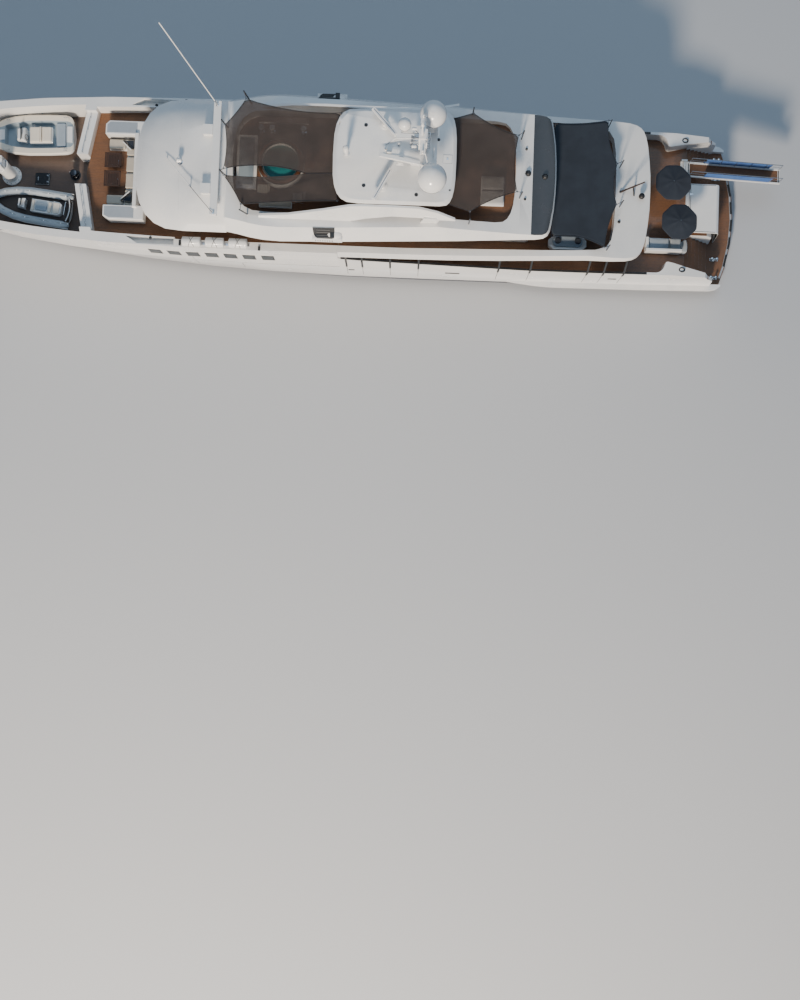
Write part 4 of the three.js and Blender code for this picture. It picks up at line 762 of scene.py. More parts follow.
def grow(name, tree, corners, values, body):
    """Runs a tree on the line through some corners, and keeps the result as one plain mesh."""
    wire = bpy.data.meshes.new(name)
    wire.from_pydata([Vector(corner) * HALF for corner in corners],
                     [(i, i + 1) for i in range(len(corners) - 1)], [])
    thing = added(name, wire)
    shaped = thing.modifiers.new("shape", "NODES")
    shaped.node_group = tree
    for item in tree.interface.items_tree:
        if item.name in values:
            shaped[item.identifier] = values[item.name]
    baked(thing).name = name
    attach(thing, body)
    return thing


def rail_along(name, points, height, gap, body="yacht", middle_share=0.5, middle_radius=0.006):
    grow(name, railing, points, {"Height": height * HALF, "Post Gap": gap * HALF,
                                 "Middle Share": middle_share, "Middle Radius": middle_radius,
                                 "Finish": steel}, body)


faired("passerelle", white_paint, width=0.02)
plank_turn = placed((-24.1, -2.55, 2.85), -0.12, "Y")
teak_deck = dress("teak tread", plain(planks, TEAK), bump=0.4, depth=0.001)
tread = Maker(teak_deck, rubber_and_shade)
tread.turned_by = plank_turn
tread.box((-6.4, -0.38, 0.068), (-0.35, 0.38, 0.078))
for x in (-6.5, -0.3):
    tread.box((x, -0.4, 0.068), (x + 0.06, 0.4, 0.082), slot=1)
tread.piece("passerelle_tread", body="passerelle", edge=0.004)

# Threads cross the cloth both ways. Open is the share of it that lets light through.
canvas, given, result = node_group("woven cloth", [
    ("Vector", VECTOR, None), ("Clean", COLOUR, (0.05, 0.09, 0.2, 1)),
    ("Faded", COLOUR, (0.1, 0.15, 0.25, 1)), ("Thread", VALUE, 0.0025), ("Open", VALUE, 0.0)],
    [*SURFACE, ("Alpha", VALUE)])
axes = parts_of(canvas, given["Vector"])
threads = []
for axis in ("X", "Y", "Z"):
    turns = times(canvas, math_of(canvas, "DIVIDE", axes[axis], given["Thread"]), math.pi)
    threads.append(math_of(canvas, "ABSOLUTE", math_of(canvas, "SINE", turns)))
raised = math_of(canvas, "ADD", math_of(canvas, "ADD", threads[0], threads[1]), threads[2])
raised = times(canvas, raised, 0.333)
stain = noise_of(canvas, given["Vector"], 2.4, 5.0)
shade = blend_of(canvas, ramp_of(canvas, stain, 0.35, 0.75), given["Clean"], given["Faded"])
fill(canvas, result["Color"], blend_of(canvas, times(canvas, raised, 0.3), shade, (0, 0, 0, 1)))
fill(canvas, result["Roughness"], ramp_of(canvas, raised, 0.0, 1.0, 0.95, 0.8))
fill(canvas, result["Height"], raised)
gaps = times(canvas, given["Open"], ramp_of(canvas, stain, 0.2, 0.8, 0.8, 1.2))
fill(canvas, result["Alpha"], math_of(canvas, "SUBTRACT", 1.0, gaps))


def cloth(name, clean, faded, opening=0.0, thread=0.0025, sheen=0.2):
    def outputs_of(tree, vector):
        out = place_effect(tree, canvas, vector, {"Clean": (*clean, 1), "Faded": (*faded, 1),
                                                  "Thread": thread, "Open": opening})
        if opening:
            fill(tree, tree.nodes["Principled BSDF"].inputs["Alpha"], out["Alpha"])
        return out["Color"], out["Roughness"], out["Height"]
    return dress(name, outputs_of, bump=0.35, depth=0.0008, Sheen_Weight=sheen)


def spread(name, rows, material, body="yacht", replaces=(), thickness=0.004, flat=None):
    """A sheet of cloth from a grid of points. Its flat size is measured along the grid, if not given."""
    def longest(lines):
        lengths = [sum((Vector(a) - Vector(b)).length for a, b in zip(line, line[1:])) for line in lines]
        return max(lengths) * HALF
    width, length = flat or (longest(rows), longest(list(zip(*rows))))
    mesh = bpy.data.meshes.new(name)
    count = len(rows[0])
    faces = [(r * count + c, r * count + c + 1, (r + 1) * count + c + 1, (r + 1) * count + c)
             for r in range(len(rows) - 1) for c in range(count - 1)]
    mesh.from_pydata([Vector(p) * HALF for row in rows for p in row], [], faces)
    work = bmesh.new()
    work.from_mesh(mesh)
    bmesh.ops.remove_doubles(work, verts=work.verts, dist=1e-5)
    bmesh.ops.recalc_face_normals(work, faces=work.faces)
    if sum(face.normal.z * face.calc_area() for face in work.faces) < 0:
        bmesh.ops.reverse_faces(work, faces=work.faces)
    area = min(sum(face.calc_area() for face in work.faces), width * length)
    work.to_mesh(mesh)
    work.free()
    mesh.materials.append(material)
    mesh.shade_smooth()
    thing = added(name, mesh)
    finer = thing.modifiers.new("finer", "SUBSURF")
    finer.levels = finer.render_levels = 1
    finer.boundary_smooth = "PRESERVE_CORNERS"
    thick = thing.modifiers.new("cloth thickness", "SOLIDIFY")
    thick.thickness = thickness * HALF
    thick.offset = -1
    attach(thing, body)
    if replaces:
        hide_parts(*replaces)


blue_canvas = cloth("blue canvas", (0.03, 0.12, 0.42), (0.07, 0.2, 0.5))
for side, hand in SIDES:
    feet = [plank_turn @ Vector((x, hand * 0.43, 0.135)) for x in (-6.45, -3.3, -0.3)]
    rail_along(f"passerelle_rail_{side}", feet, 0.85, 1.02, "passerelle")
    rows = []
    for level in range(7):
        slack = 0.012 * math.sin(math.pi * level / 6)
        rows.append([plank_turn @ Vector((-5.75 + 4.5 * k / 24, hand * (0.46 + slack * math.sin(k * 1.3)),
                                          0.16 + 0.72 * level / 6)) for k in range(25)])
    spread(f"passerelle_dodger_{side}", rows, blue_canvas, "passerelle")

# Aft-deck settee and chair. White moulded frames stand on the teak, with pale blue cushions
# of cloth over foam, rounded at the corners.
CORNER_CUT = 0.09
VOXEL = 0.026
PUFF_FRAMES = 20


def stuffed(name, outline, low, high, material, swell=0.02, replaces=(), tilt=None):
    """A cushion of foam under cloth: a slab blown up a little by cloth pressure, flat underneath."""
    slab = Maker(material)
    if tilt:
        slab.turned_by = tilt
    middle = Vector((sum(x for x, y in outline) / len(outline), sum(y for x, y in outline) / len(outline)))
    arms = [Vector(p) - middle for p in outline]
    shrunk = [middle + arm * (1 - swell / max(0.2, arm.length)) for arm in arms]
    rounded = []
    for i, corner in enumerate(shrunk):
        before = shrunk[i - 1] - corner
        after = shrunk[(i + 1) % len(shrunk)] - corner
        cut = min(CORNER_CUT, before.length / 3, after.length / 3)
        start = corner + before.normalized() * cut
        end = corner + after.normalized() * cut
        for t in (0, 1 / 3, 2 / 3, 1):
            rounded.append(tuple(start * (1 - t) ** 2 + corner * 2 * t * (1 - t) + end * t * t))
    slab.prism(rounded, low + 0.004, high - swell * 0.8)
    thing = slab.piece(name, replaces=replaces)
    remesh = thing.modifiers.new("even mesh", "REMESH")
    remesh.mode = "VOXEL"
    remesh.voxel_size = VOXEL * HALF
    mesh = baked(thing)
    mesh.materials.clear()
    mesh.materials.append(material)
    rest = [v.co.copy() for v in mesh.vertices]
    puffed = thing.modifiers.new("pressure", "CLOTH")
    puffed.settings.use_pressure = True
    puffed.settings.uniform_pressure_force = 4
    puffed.settings.effector_weights.gravity = 0
    puffed.point_cache.frame_end = PUFF_FRAMES
    for step in range(1, PUFF_FRAMES + 1):
        scene.frame_set(step)
    blown = thing.evaluated_get(bpy.context.evaluated_depsgraph_get()).data
    moves = [v.co - start for v, start in zip(blown.vertices, rest)]
    thing.modifiers.clear()
    scene.frame_set(1)
    for vertex, start, move in zip(mesh.vertices, rest, moves):
        vertex.co = start + move * min(1.0, swell * HALF / max(move.length, 1e-6))
    if not tilt:
        base = min(v.z for v in rest)
        for vertex in mesh.vertices:
            vertex.co.z = max(vertex.co.z, base)
    mesh.shade_smooth()
    finer = thing.modifiers.new("finer", "SUBSURF")
    finer.levels = finer.render_levels = 1


pale_blue = cloth("pale blue cloth", (0.42, 0.5, 0.58), (0.36, 0.44, 0.52))
pale_grey = cloth("pale grey cloth", (0.5, 0.54, 0.57), (0.34, 0.4, 0.45))
navy = cloth("navy cloth", (0.012, 0.02, 0.036), (0.022, 0.032, 0.05))
settee = Maker(white_paint)
settee.box((-24.0, 2.08, 2.61), (-21.66, 3.04, 2.95))
settee.box((-24.0, 2.86, 2.95), (-21.66, 3.04, 3.36))
settee.box((-21.86, 2.08, 2.95), (-21.66, 2.86, 3.2))
settee.piece("aft_settee_frame", edge=0.03)
stuffed("aft_settee_seat_fore", block(-23.2, -21.9, 2.1, 2.84), 2.96, 3.14, pale_blue, replaces=("aft_sofa",))
stuffed("aft_settee_seat_aft", block(-23.96, -23.24, 2.1, 2.84), 2.96, 3.14, pale_grey)
chair = Maker(white_paint)
CHAIR = [(-24.04, 3.0), (-24.06, 2.6), (-24.14, 2.2), (-24.3, 2.1), (-24.4, 2.3), (-24.44, 2.6), (-24.4, 2.9),
         (-24.3, 3.03)]
chair.prism([(max(x, -24.28), y) for x, y in CHAIR], 2.61, 2.8)
chair.prism(CHAIR, 2.8, 2.92)
chair.piece("aft_chair_shell", edge=0.02)
stuffed("aft_chair_seat", CHAIR, 2.925, 3.06, pale_grey)

# Parasols. Eight-sided canopies of navy canvas over wooden ribs, on steel poles in round
# weighted feet that stand on the teak.
dark_wood_finish = dress("dark wood", plain(planks, {
    "Wood": (0.05, 0.024, 0.016, 1), "Worn": (0.036, 0.02, 0.015, 1), "Width": 0.05, "Seam Share": 0.03}),
    bump=0.2)
AFT_DECK_Z = 2.602
RIBS = 8
PARASOL_STAND = [(0.3, 0), (0.3, 0.04), (0.27, 0.08), (0.07, 0.11), (0.05, 0.3), (0.032, 0.34), (0.032, 2.2),
                 (0.012, 2.24)]
for side, foot in (("starboard", (-23.05, -1.1)), ("port", (-23.5, 1.42))):
    stand = Maker(steel, dark_wood_finish)
    stand.turned((*foot, AFT_DECK_Z), PARASOL_STAND, sides=20)
    for inner, outer in zip(*(circle(RIBS, reach, foot, math.pi / RIBS) for reach in (0.05, 1.16))):
        stand.rod([(*inner, AFT_DECK_Z + 2.13), (*outer, AFT_DECK_Z + 1.85)], 0.012, slot=1, sides=6)
    stand.piece(f"parasol_stand_{side}")
    # Between two ribs, where near_rib is 0, the cloth is cut hollow and sags a little.
    rows = []
    for ring in range(9):
        share = ring / 8
        row = []
        for k in range(4 * RIBS + 1):
            near_rib = abs(k % 4 - 2) / 2
            radius = 0.03 + 1.18 * share * (1 - 0.075 * (1 - near_rib * near_rib))
            height = 2.205 - 0.33 * share ** 1.25 - 0.035 * (1 - near_rib) * math.sin(math.pi * share)
            a = math.pi * (k / 16 + 1 / 8)
            row.append((foot[0] + radius * math.cos(a), foot[1] + radius * math.sin(a), AFT_DECK_Z + height))
        rows.append(row)
    spread(f"parasol_canopy_{side}", rows, navy, replaces=(f"parasol_{side}",))

# Upper aft deck. A white moulded settee with a pale blue cushion and two round navy ones stands
# at the port side, under a navy canvas awning lashed to the house and to four poles.
sofa = Maker(white_paint)
sofa.prism([(-17.42, 3.2), (-17.1, 2.92), (-15.36, 2.92), (-15.02, 3.2), (-15.02, 3.6), (-15.3, 3.86),
            (-17.15, 3.86), (-17.42, 3.6)], 5.305, 5.6)
sofa.prism([(-15.3, 3.86), (-15.02, 3.6), (-15.16, 3.54), (-15.4, 3.74), (-17.05, 3.74), (-17.28, 3.54),
            (-17.42, 3.6), (-17.15, 3.86)], 5.6, 5.84)
sofa.piece("upper_settee_frame", edge=0.03)
stuffed("upper_settee_seat", [(-17.2, 3.22), (-16.95, 2.96), (-15.5, 2.96), (-15.22, 3.22), (-15.26, 3.48),
                              (-15.46, 3.68), (-16.98, 3.68), (-17.2, 3.48)], 5.602, 5.76, pale_blue,
        replaces=("upper_sofa",))
for k, x in enumerate((-16.85, -15.6)):
    stuffed(f"upper_settee_pillow_{k + 1}", circle(12, 0.23, (x, 3.3)), 5.77, 5.87, navy, swell=0.015)
HEM_STEPS = 8
SAG_STEPS = 12


def hang_awning(name, corners, material, sag, hem_material, replaces=()):
    """corners rows: the place, how far the edge that follows is cut hollow as a share of its
    length, and where the corner's tie ends, if it has one. They run anticlockwise, and the
    middle of the cloth hangs lower by sag."""
    edge = []
    for (a, hollow, _), (b, _, _) in zip(corners, corners[1:] + corners[:1]):
        a, b = Vector(a), Vector(b)
        inward = Vector((-(b - a).y, (b - a).x, 0)).normalized()
        for k in range(HEM_STEPS):
            t = k / HEM_STEPS
            pull = 4 * t * (1 - t) * hollow * (b - a).length
            edge.append(a.lerp(b, t) + inward * pull - Vector((0, 0, 0.15 * pull)))
    edge.append(edge[0])
    centre = sum(edge[:-1], Vector()) / (len(edge) - 1)
    rows = []
    for ring in range(SAG_STEPS + 1):
        share = ring / SAG_STEPS
        rows.append([centre.lerp(p, share) - Vector((0, 0, sag * (1 - share * share))) for p in edge])
    hem = Maker(hem_material, steel)
    hem.rod(edge, 0.02, sides=6)
    for (x, y, z), _, tie_end in corners:
        if tie_end:
            a, b = Vector((x, y, z + 0.01)), Vector(tie_end)
            hem.rod([a, a.lerp(b, 0.5) - Vector((0, 0, 0.01)), b], 0.016, sides=6)
            hem.ring(a, 0.05, 0.012, slot=1, steps=12)
    hem.piece(f"{name}_hem")
    spans = [(max(p[axis] for p in edge) - min(p[axis] for p in edge)) * HALF for axis in (0, 1)]
    spread(f"{name}_cloth", rows, material, replaces=replaces, thickness=0.006, flat=spans)


navy_awning = cloth("navy awning", (0.013, 0.022, 0.037), (0.022, 0.034, 0.052))
navy_tape = weathered("navy tape", (0.012, 0.018, 0.03), (0.03, 0.04, 0.055), 0.6, 0.8, bump=0.2)
UPPER_CORNERS = [((-14.98, 3.5, 7.26), 0.1, None),
                 ((-18.3, 3.98, 7.07), 0.05, (-18.6, 3.92, 7.2)),
                 ((-18.98, 1.28, 7.05), 0.08, (-19.35, 1.1, 7.2)),
                 ((-18.95, -1.28, 7.05), 0.08, (-19.3, -1.4, 7.2)),
                 ((-18.33, -3.96, 7.07), 0.03, (-18.5, -3.92, 7.2)),
                 ((-14.98, -3.6, 7.26), 0.0, None)]
hang_awning("awning_upper", UPPER_CORNERS, navy_awning, 0.12, navy_tape, ("awning_upper",))

# Ensign staff. A raked staff of varnished wood stands in a dark socket on the aft overhang, with
# two struts down to the deck and a dark globe lamp beside it.
staff = Maker(dark_wood_finish, steel, rubber_and_shade)
staff.rod([(-19.4, 0.12, 5.95), (-20.72, -0.24, 6.9)], [0.06, 0.045])
staff.turned((-19.4, 0.12, 5.85), [(0.15, 0), (0.15, 0.05), (0.08, 0.08), (0.07, 0.2)], slot=2, sides=16)
staff.rod([(-20.1, -0.07, 6.44), (-20.4, -0.42, 5.72)], 0.045, slot=2)
staff.rod([(-20.1, -0.07, 6.44), (-20.3, 0.32, 5.75)], 0.045, slot=2)
staff.turned((-20.72, 0.38, 5.62), [(0.13, 0), (0.13, 0.03), (0.04, 0.06), (0.04, 0.3)], slot=1, sides=16)
staff.turned((-20.72, 0.38, 5.9), [(0.04, 0), (0.13, 0.04), (0.19, 0.13), (0.19, 0.22), (0.13, 0.31),
                                   (0.03, 0.35)], slot=2, sides=20)
staff.turned((-19.36, 2.03, 5.9), [(0.1, 0), (0.1, 0.08), (0.06, 0.12)], slot=2, sides=16)
staff.piece("ensign_staff")

# Bridge lounge. A white moulded settee wraps round the cabin front, its two arms running forward.
# Cream cushions lie on it, round two dark slatted tables on steel pillars.
faired("bridge_coaming", white_paint, width=0.07)
# Painted shade: blue-grey plates on the arms' tops stand for their grey-lilac look in a low light.
arm_top_shade = Maker(grey_trim_and_shade)
for outline in ([(11.0, 2.27), (12.86, 2.27), (12.86, 2.83), (12.56, 2.98), (11.0, 2.98)],
                [(11.0, -3.08), (12.71, -3.08), (12.9, -2.9), (12.9, -2.4), (11.0, -2.4)]):
    arm_top_shade.prism(outline, 6.14, 6.16)
arm_top_shade.piece("bridge_arm_top_shade", edge=0.01)
cream = cloth("cream cloth", (0.66, 0.6, 0.5), (0.56, 0.5, 0.42))
SEATS = [("back_1", 11.13, 11.72, -2.16, -1.1), ("back_2", 11.13, 11.72, -1.06, -0.06),
         ("back_3", 11.13, 11.72, -0.02, 1.0), ("back_4", 11.13, 11.72, 1.04, 2.06),
         ("starboard", 11.76, 12.86, -2.16, -1.5), ("port", 11.76, 12.88, 1.4, 2.0)]
for index, (label, *sides) in enumerate(SEATS):
    stuffed(f"bridge_seat_{label}", block(*sides), 5.52, 5.74, cream,
            replaces=("bridge_cushions",) if index == 0 else ())
plinth = Maker(white_paint)
plinth.prism([(11.12, -2.2), (12.85, -2.2), (12.85, -1.52), (11.7, -1.52), (11.7, 1.47), (12.85, 1.47),
              (12.85, 2.1), (11.12, 2.1)], 5.305, 5.515)
plinth.piece("bridge_seat_plinth", edge=0.02)
slats, given, result = node_group("slats", [
    (*GEOMETRY, None), ("Count", "NodeSocketInt", 8), ("Slat Size", VECTOR, (0.02, 0.3, 0.01)), FINISH],
    [GEOMETRY], kind="GeometryNodeTree")
path = put(slats, "GeometryNodeMeshToCurve", {"Mesh": given["Geometry"]})[0]
places = put(slats, "GeometryNodeCurveToPoints", {"Curve": path, "Count": given["Count"]}, mode="COUNT")[0]
slat = put(slats, "GeometryNodeMeshCube", {"Size": given["Slat Size"]})[0]
lined = put(slats, "GeometryNodeInstanceOnPoints", {"Points": places, "Instance": slat})[0]
lined = put(slats, "GeometryNodeRealizeInstances", {"Geometry": lined})[0]
fill(slats, result["Geometry"], put(slats, "GeometryNodeSetMaterial", {
    "Geometry": lined, "Material": given["Finish"]})[0])


def slat_row(name, start, end, count, size, finish):
    row = grow(name, slats, [start, end], {"Count": count, "Slat Size": [s * HALF for s in size],
                                           "Finish": finish}, "yacht")
    eased = row.modifiers.new("eased edges", "BEVEL")
    eased.width = 0.004 * HALF
    eased.segments = 1


for side, y0, y1 in (("starboard", -1.19, -0.26), ("port", -0.04, 0.94)):
    middle = (y0 + y1) / 2
    table = Maker(dark_wood_finish, steel)
    for a, b in ((y0, y0 + 0.07), (y1 - 0.07, y1)):
        table.box((11.96, a, 5.955), (12.99, b, 5.995))
    for a, b in ((11.96, 12.03), (12.92, 12.99)):
        table.box((a, y0, 5.955), (b, y1, 5.995))
    table.turned((12.48, middle, 5.302), [(0.26, 0), (0.26, 0.03), (0.07, 0.06), (0.05, 0.1), (0.05, 0.62)],
                 slot=1, sides=20)
    table.box((12.15, middle - 0.3, 5.92), (12.8, middle + 0.3, 5.955))
    table.piece(f"bridge_table_{side}", edge=0.008, replaces=("bridge_tables",) if side == "port" else ())
    slat_row(f"bridge_table_slats_{side}", (12.09, middle, 5.975), (12.86, middle, 5.975), 9,
             (0.075, y1 - y0 - 0.15, 0.03), dark_wood_finish)
black_frame = weathered("black tube", (0.018, 0.018, 0.02), (0.05, 0.05, 0.055), 0.3, 0.5, bump=0.05)
folded = Maker(black_frame, navy, white_paint)
# The two ends of each bar, its radius and its slot.
CHAIR_BARS = [((11.96, 1.71), (11.41, 1.19), 0.03, 2), ((11.93, 1.8), (11.28, 1.24), 0.035, 0),
              ((11.25, 1.85), (11.25, 1.28), 0.03, 0), ((11.9, 1.86), (11.28, 1.88), 0.03, 0)]
for hand, shift in ((1, 0.0), (-1, -0.25)):
    for *ends, radius, slot in CHAIR_BARS:
        folded.rod([(x, hand * y + shift, 5.8) for x, y in ends], radius, slot)
    cover = [(11.3, 1.32), (11.82, 1.78), (11.3, 1.82)]
    folded.prism([(x, hand * y + shift) for x, y in cover][::hand], 5.775, 5.79, slot=1)
folded.piece("folded_chairs")

# Breakwaters. Two thick white plates sweep aft on each side of the lounge's walkway, each with a
# steel grab rail along its top.
for side, y0, y1 in (("port", 0.95, 3.45), ("starboard", -1.15, -3.4)):
    swept = [(14.65 - 0.19 * abs(y), y, 5.9) for y in (y0, (y0 + y1) / 2, y1)]
    rail_along(f"breakwater_rail_{side}", swept, 0.2, 0.6, middle_share=0.0, middle_radius=0.002)

# Crane. A white pillar crane with a round turret, a box boom with a steel pin, and a hydraulic
# cylinder under it. The hook block hangs close under the boom's end.
CRANE = (19.3, 0.05)
for name in ("crane_pedestal", "crane_turret", "crane_boom"):
    faired(name, white_paint, width=0.03)
flange = Maker(steel)
for x, y in circle(12, 0.54, CRANE):
    flange.turned((x, y, 4.52), [(0.035, 0), (0.035, 0.03), (0.02, 0.04)], sides=6)
flange.piece("crane_foot_bolts")
turret = Maker(grey_trim_and_shade, steel)
turret.ring((*CRANE, 6.56), 0.36, 0.03)
turret.rod([(19.3, -0.31, 7.0), (19.3, 0.41, 7.0)], 0.06, slot=1, sides=12)
turret.box((18.93, -0.16, 6.6), (19.02, 0.26, 6.9))
turret.piece("crane_turret_gear", body="crane_turret", edge=0.008)
boom = Maker(steel, rubber_and_shade, white_paint)
boom.box((21.6, -0.1, 7.2), (23.4, 0.2, 7.24), slot=2)
boom.rod([(20.1, 0.05, 7.21), (22.9, 0.05, 7.25)], 0.04)
boom.turned((24.55, 0.05, 7.2), [(0.1, 0), (0.1, 0.04), (0.05, 0.06)], sides=16)
boom.box((24.45, -0.04, 6.62), (24.65, 0.14, 6.8))
HOOK = [(24.55, 6.62), (24.55, 6.5), (24.5, 6.44), (24.55, 6.38), (24.61, 6.44)]
boom.rod([(x, 0.05, z) for x, z in HOOK], 0.025)
for z in (6.78, 7.22):
    boom.box((19.5, -0.16, z - 0.01), (19.9, 0.26, z + 0.012), slot=1)
boom.piece("crane_boom_gear", body="crane_boom", edge=0.006)

# Foredeck hatch and capstan. The hatch lid is dark anodised plate with a steel handle, and the
# capstan is a dark chromed drum on a dark base.
dark_plate = weathered("dark plate", (0.02, 0.022, 0.026), (0.05, 0.052, 0.056), 0.35, 0.55, bump=0.1,
                       Metallic=0.4)
cad["foredeck_hatch"].data.materials[0] = dark_plate
lid = Maker(steel, dark_plate)
lid.rod([(17.6, y, z) for y, z in ((0.05, 4.512), (0.05, 4.54), (0.3, 4.54), (0.3, 4.512))], 0.012)
for y in (-0.05, 0.36):
    lid.box((16.95, y - 0.04, 4.51), (17.06, y + 0.04, 4.53))
for k in range(5):
    lid.box((17.12 + k * 0.1, -0.1, 4.51), (17.15 + k * 0.1, 0.45, 4.516), slot=1)
lid.piece("foredeck_hatch_gear", body="foredeck_hatch", edge=0.004)
surround = Maker(dark_plate)
for x0, x1, y0, y1 in ((16.88, 16.93, -0.22, 0.57), (17.77, 17.82, -0.22, 0.57), (16.93, 17.77, -0.22, -0.17),
                       (16.93, 17.77, 0.52, 0.57)):
    surround.box((x0, y0, 4.41), (x1, y1, 4.446))
surround.piece("foredeck_hatch_frame", edge=0.006)
dark_chrome = weathered("dark chrome", (0.1, 0.1, 0.11), (0.06, 0.062, 0.07), 0.15, 0.4, bump=0.05,
                        Metallic=1.0)
CAPSTAN = (15.25, -0.15)
faired("capstan", dark_chrome, width=0.01)
base = Maker(dark_plate, steel)
base.turned((*CAPSTAN, 4.402), [(0.34, 0), (0.34, 0.008), (0.3, 0.014)])
base.turned((15.62, -0.35, 4.402), [(0.07, 0), (0.06, 0.03), (0.03, 0.05)], slot=1, sides=12)
base.piece("capstan_plate")
# Whelps round the drum, so that a line grips it.
whelps = Maker(dark_chrome)
for foot, waist, head in zip(*(circle(8, reach, CAPSTAN) for reach in (0.17, 0.18, 0.2))):
    whelps.rod([(*foot, 4.63), (*waist, 4.8), (*head, 4.88)], 0.016, sides=6)
whelps.piece("capstan_whelps", body="capstan")

# Jet tender. A moulded launch with a cream padded gunwale, a pale blue cockpit, twin seats behind
# a small console with a wheel, and a bench across the stern, on chocks to starboard.
tender_gel = weathered("tender gelcoat", (0.82, 0.83, 0.83), (0.66, 0.68, 0.7), 0.12, 0.3, bump=0.03,
                       Coat_Weight=0.5)
cockpit_blue = weathered("cockpit moulding", (0.3, 0.37, 0.42), (0.22, 0.28, 0.33), 0.4, 0.6, bump=0.25)
cream_vinyl = weathered("cream vinyl", (0.78, 0.72, 0.62), (0.66, 0.6, 0.51), 0.35, 0.5, bump=0.35,
                        grain=240.0)
JET_FRAME = placed((15.2, -2.42, 4.55), 0.045)
# x, half beam, keel and gunwale level, then the well's half width and level.
JET_STATIONS = [
    (0.02, 0.86, 0.14, 0.84, 0.5, 0.84), (0.08, 1.04, 0.12, 0.87, 0.64, 0.87),
    (0.2, 1.17, 0.08, 0.91, 0.76, 0.91), (0.42, 1.24, 0.05, 0.95, 0.8, 0.95),
    (0.46, 1.25, 0.05, 0.95, 0.81, 0.46), (1.5, 1.29, 0.03, 0.97, 0.84, 0.45),
    (2.8, 1.29, 0.02, 0.98, 0.84, 0.45), (3.7, 1.2, 0.02, 0.99, 0.74, 0.45),
    (4.25, 1.06, 0.05, 0.99, 0.58, 0.5), (4.3, 1.04, 0.06, 0.99, 0.54, 0.99),
    (4.8, 0.82, 0.16, 0.99, 0.4, 1.0), (5.2, 0.56, 0.34, 0.99, 0.26, 1.0),
    (5.5, 0.26, 0.6, 0.98, 0.1, 0.99), (5.58, 0.1, 0.8, 0.95, 0.03, 0.96)]
# Round the section: bottom and topside in gelcoat, padded gunwale, then the blue well.
HALF_SLOTS = [0, 0, 0, 0, 1, 1, 2, 2]
jet = Maker(tender_gel, cream_vinyl, cockpit_blue)
jet.turned_by = JET_FRAME
rings = []
for x, half, keel, gunwale, inner, well in JET_STATIONS:
    port = [(x, 0, keel), (x, half * 0.45, keel + 0.1), (x, half * 0.86, keel + 0.28),
            (x, half, gunwale - 0.22), (x, half * 0.99, gunwale - 0.05), (x, half * 0.93, gunwale),
            (x, inner + 0.04, gunwale), (x, inner, min(gunwale, max(well, gunwale - 0.06))),
            (x, inner - 0.03, well)]
    rings.append(port + [(a, -b, c) for a, b, c in port[:0:-1]])
jet.loft(rings, slot=HALF_SLOTS + [2] + HALF_SLOTS[::-1])
jet.box((4.32, -0.32, 0.99), (4.9, 0.32, 1.03))
jet.box((0.06, -0.5, 0.86), (0.38, 0.5, 0.96))
jet.piece("jet_tender_boat", angle=32, replaces=("jet_tender",))


def across(maker, rings, slot=0):
    """A block across a boat, from rings of x, half width and level at its aft and its fore edge."""
    maker.loft([[(x0, -w0, z0), (x0, w0, z0), (x1, w1, z1), (x1, -w1, z1)]
                for (x0, w0, z0), (x1, w1, z1) in rings], slot)


fittings = Maker(steel, black_frame, black_glass, tender_gel)
fittings.turned_by = JET_FRAME
across(fittings, [((3.0, 0.42, 0.45), (3.62, 0.34, 0.45)), ((2.98, 0.42, 1.0), (3.5, 0.34, 1.08)),
                  ((3.05, 0.38, 1.12), (3.42, 0.3, 1.16))], slot=3)
across(fittings, [((3.3, 0.4, 1.12), (3.33, 0.4, 1.12)), ((3.12, 0.34, 1.38), (3.15, 0.34, 1.38))], slot=2)
hub = (2.9, 0.2, 1.08)
fittings.ring(hub, 0.15, 0.018, slot=1, steps=20, normal=(-0.85, 0, 0.5))
fittings.rod([(3.0, 0.2, 1.03), hub], 0.02)
for a in (0.4, 2.5, 4.6):
    fittings.rod([hub, (2.9 + 0.07 * math.cos(a), 0.2 + 0.14 * math.sin(a), 1.08 + 0.11 * math.cos(a))], 0.01)
for x, y in ((0.5, 1.06), (0.5, -1.06), (4.1, 0.95), (4.1, -0.95)):
    for dx in (-0.07, 0.07):
        fittings.rod([(x + dx * 0.5, y, 0.95), (x + dx * 0.5, y, 1.03), (x + dx * 1.6, y, 1.035)], 0.016)
fittings.rod([(0.25, -0.98, 0.94), (0.25, -0.98, 1.35), (0.25, -0.9, 1.37)], 0.016)
fittings.ring((2.45, -0.55, 0.99), 0.05, 0.012, steps=12)
fittings.piece("jet_tender_fittings", angle=40)
for k, (sides, low, high, material) in enumerate((
        ((2.1, 2.74, -0.5, 0.5), 0.86, 1.02, cream_vinyl), ((1.38, 2.0, -0.5, 0.5), 0.86, 1.02, cream_vinyl),
        ((0.5, 1.1, -0.78, 0.78), 0.72, 0.88, pale_blue))):
    stuffed(f"jet_tender_seat_{k + 1}", block(*sides), low, high, material, tilt=JET_FRAME, swell=0.012)
boxes = Maker(tender_gel, cream_vinyl)
boxes.turned_by = JET_FRAME
boxes.box((1.35, -0.5, 0.44), (2.78, 0.5, 0.86))
boxes.box((0.47, -0.8, 0.44), (1.14, 0.8, 0.72))
across(boxes, [((2.02, 0.48, 0.86), (2.12, 0.48, 0.86)), ((1.98, 0.44, 1.19), (2.06, 0.44, 1.19))], slot=1)
boxes.piece("jet_tender_seat_boxes", edge=0.025)

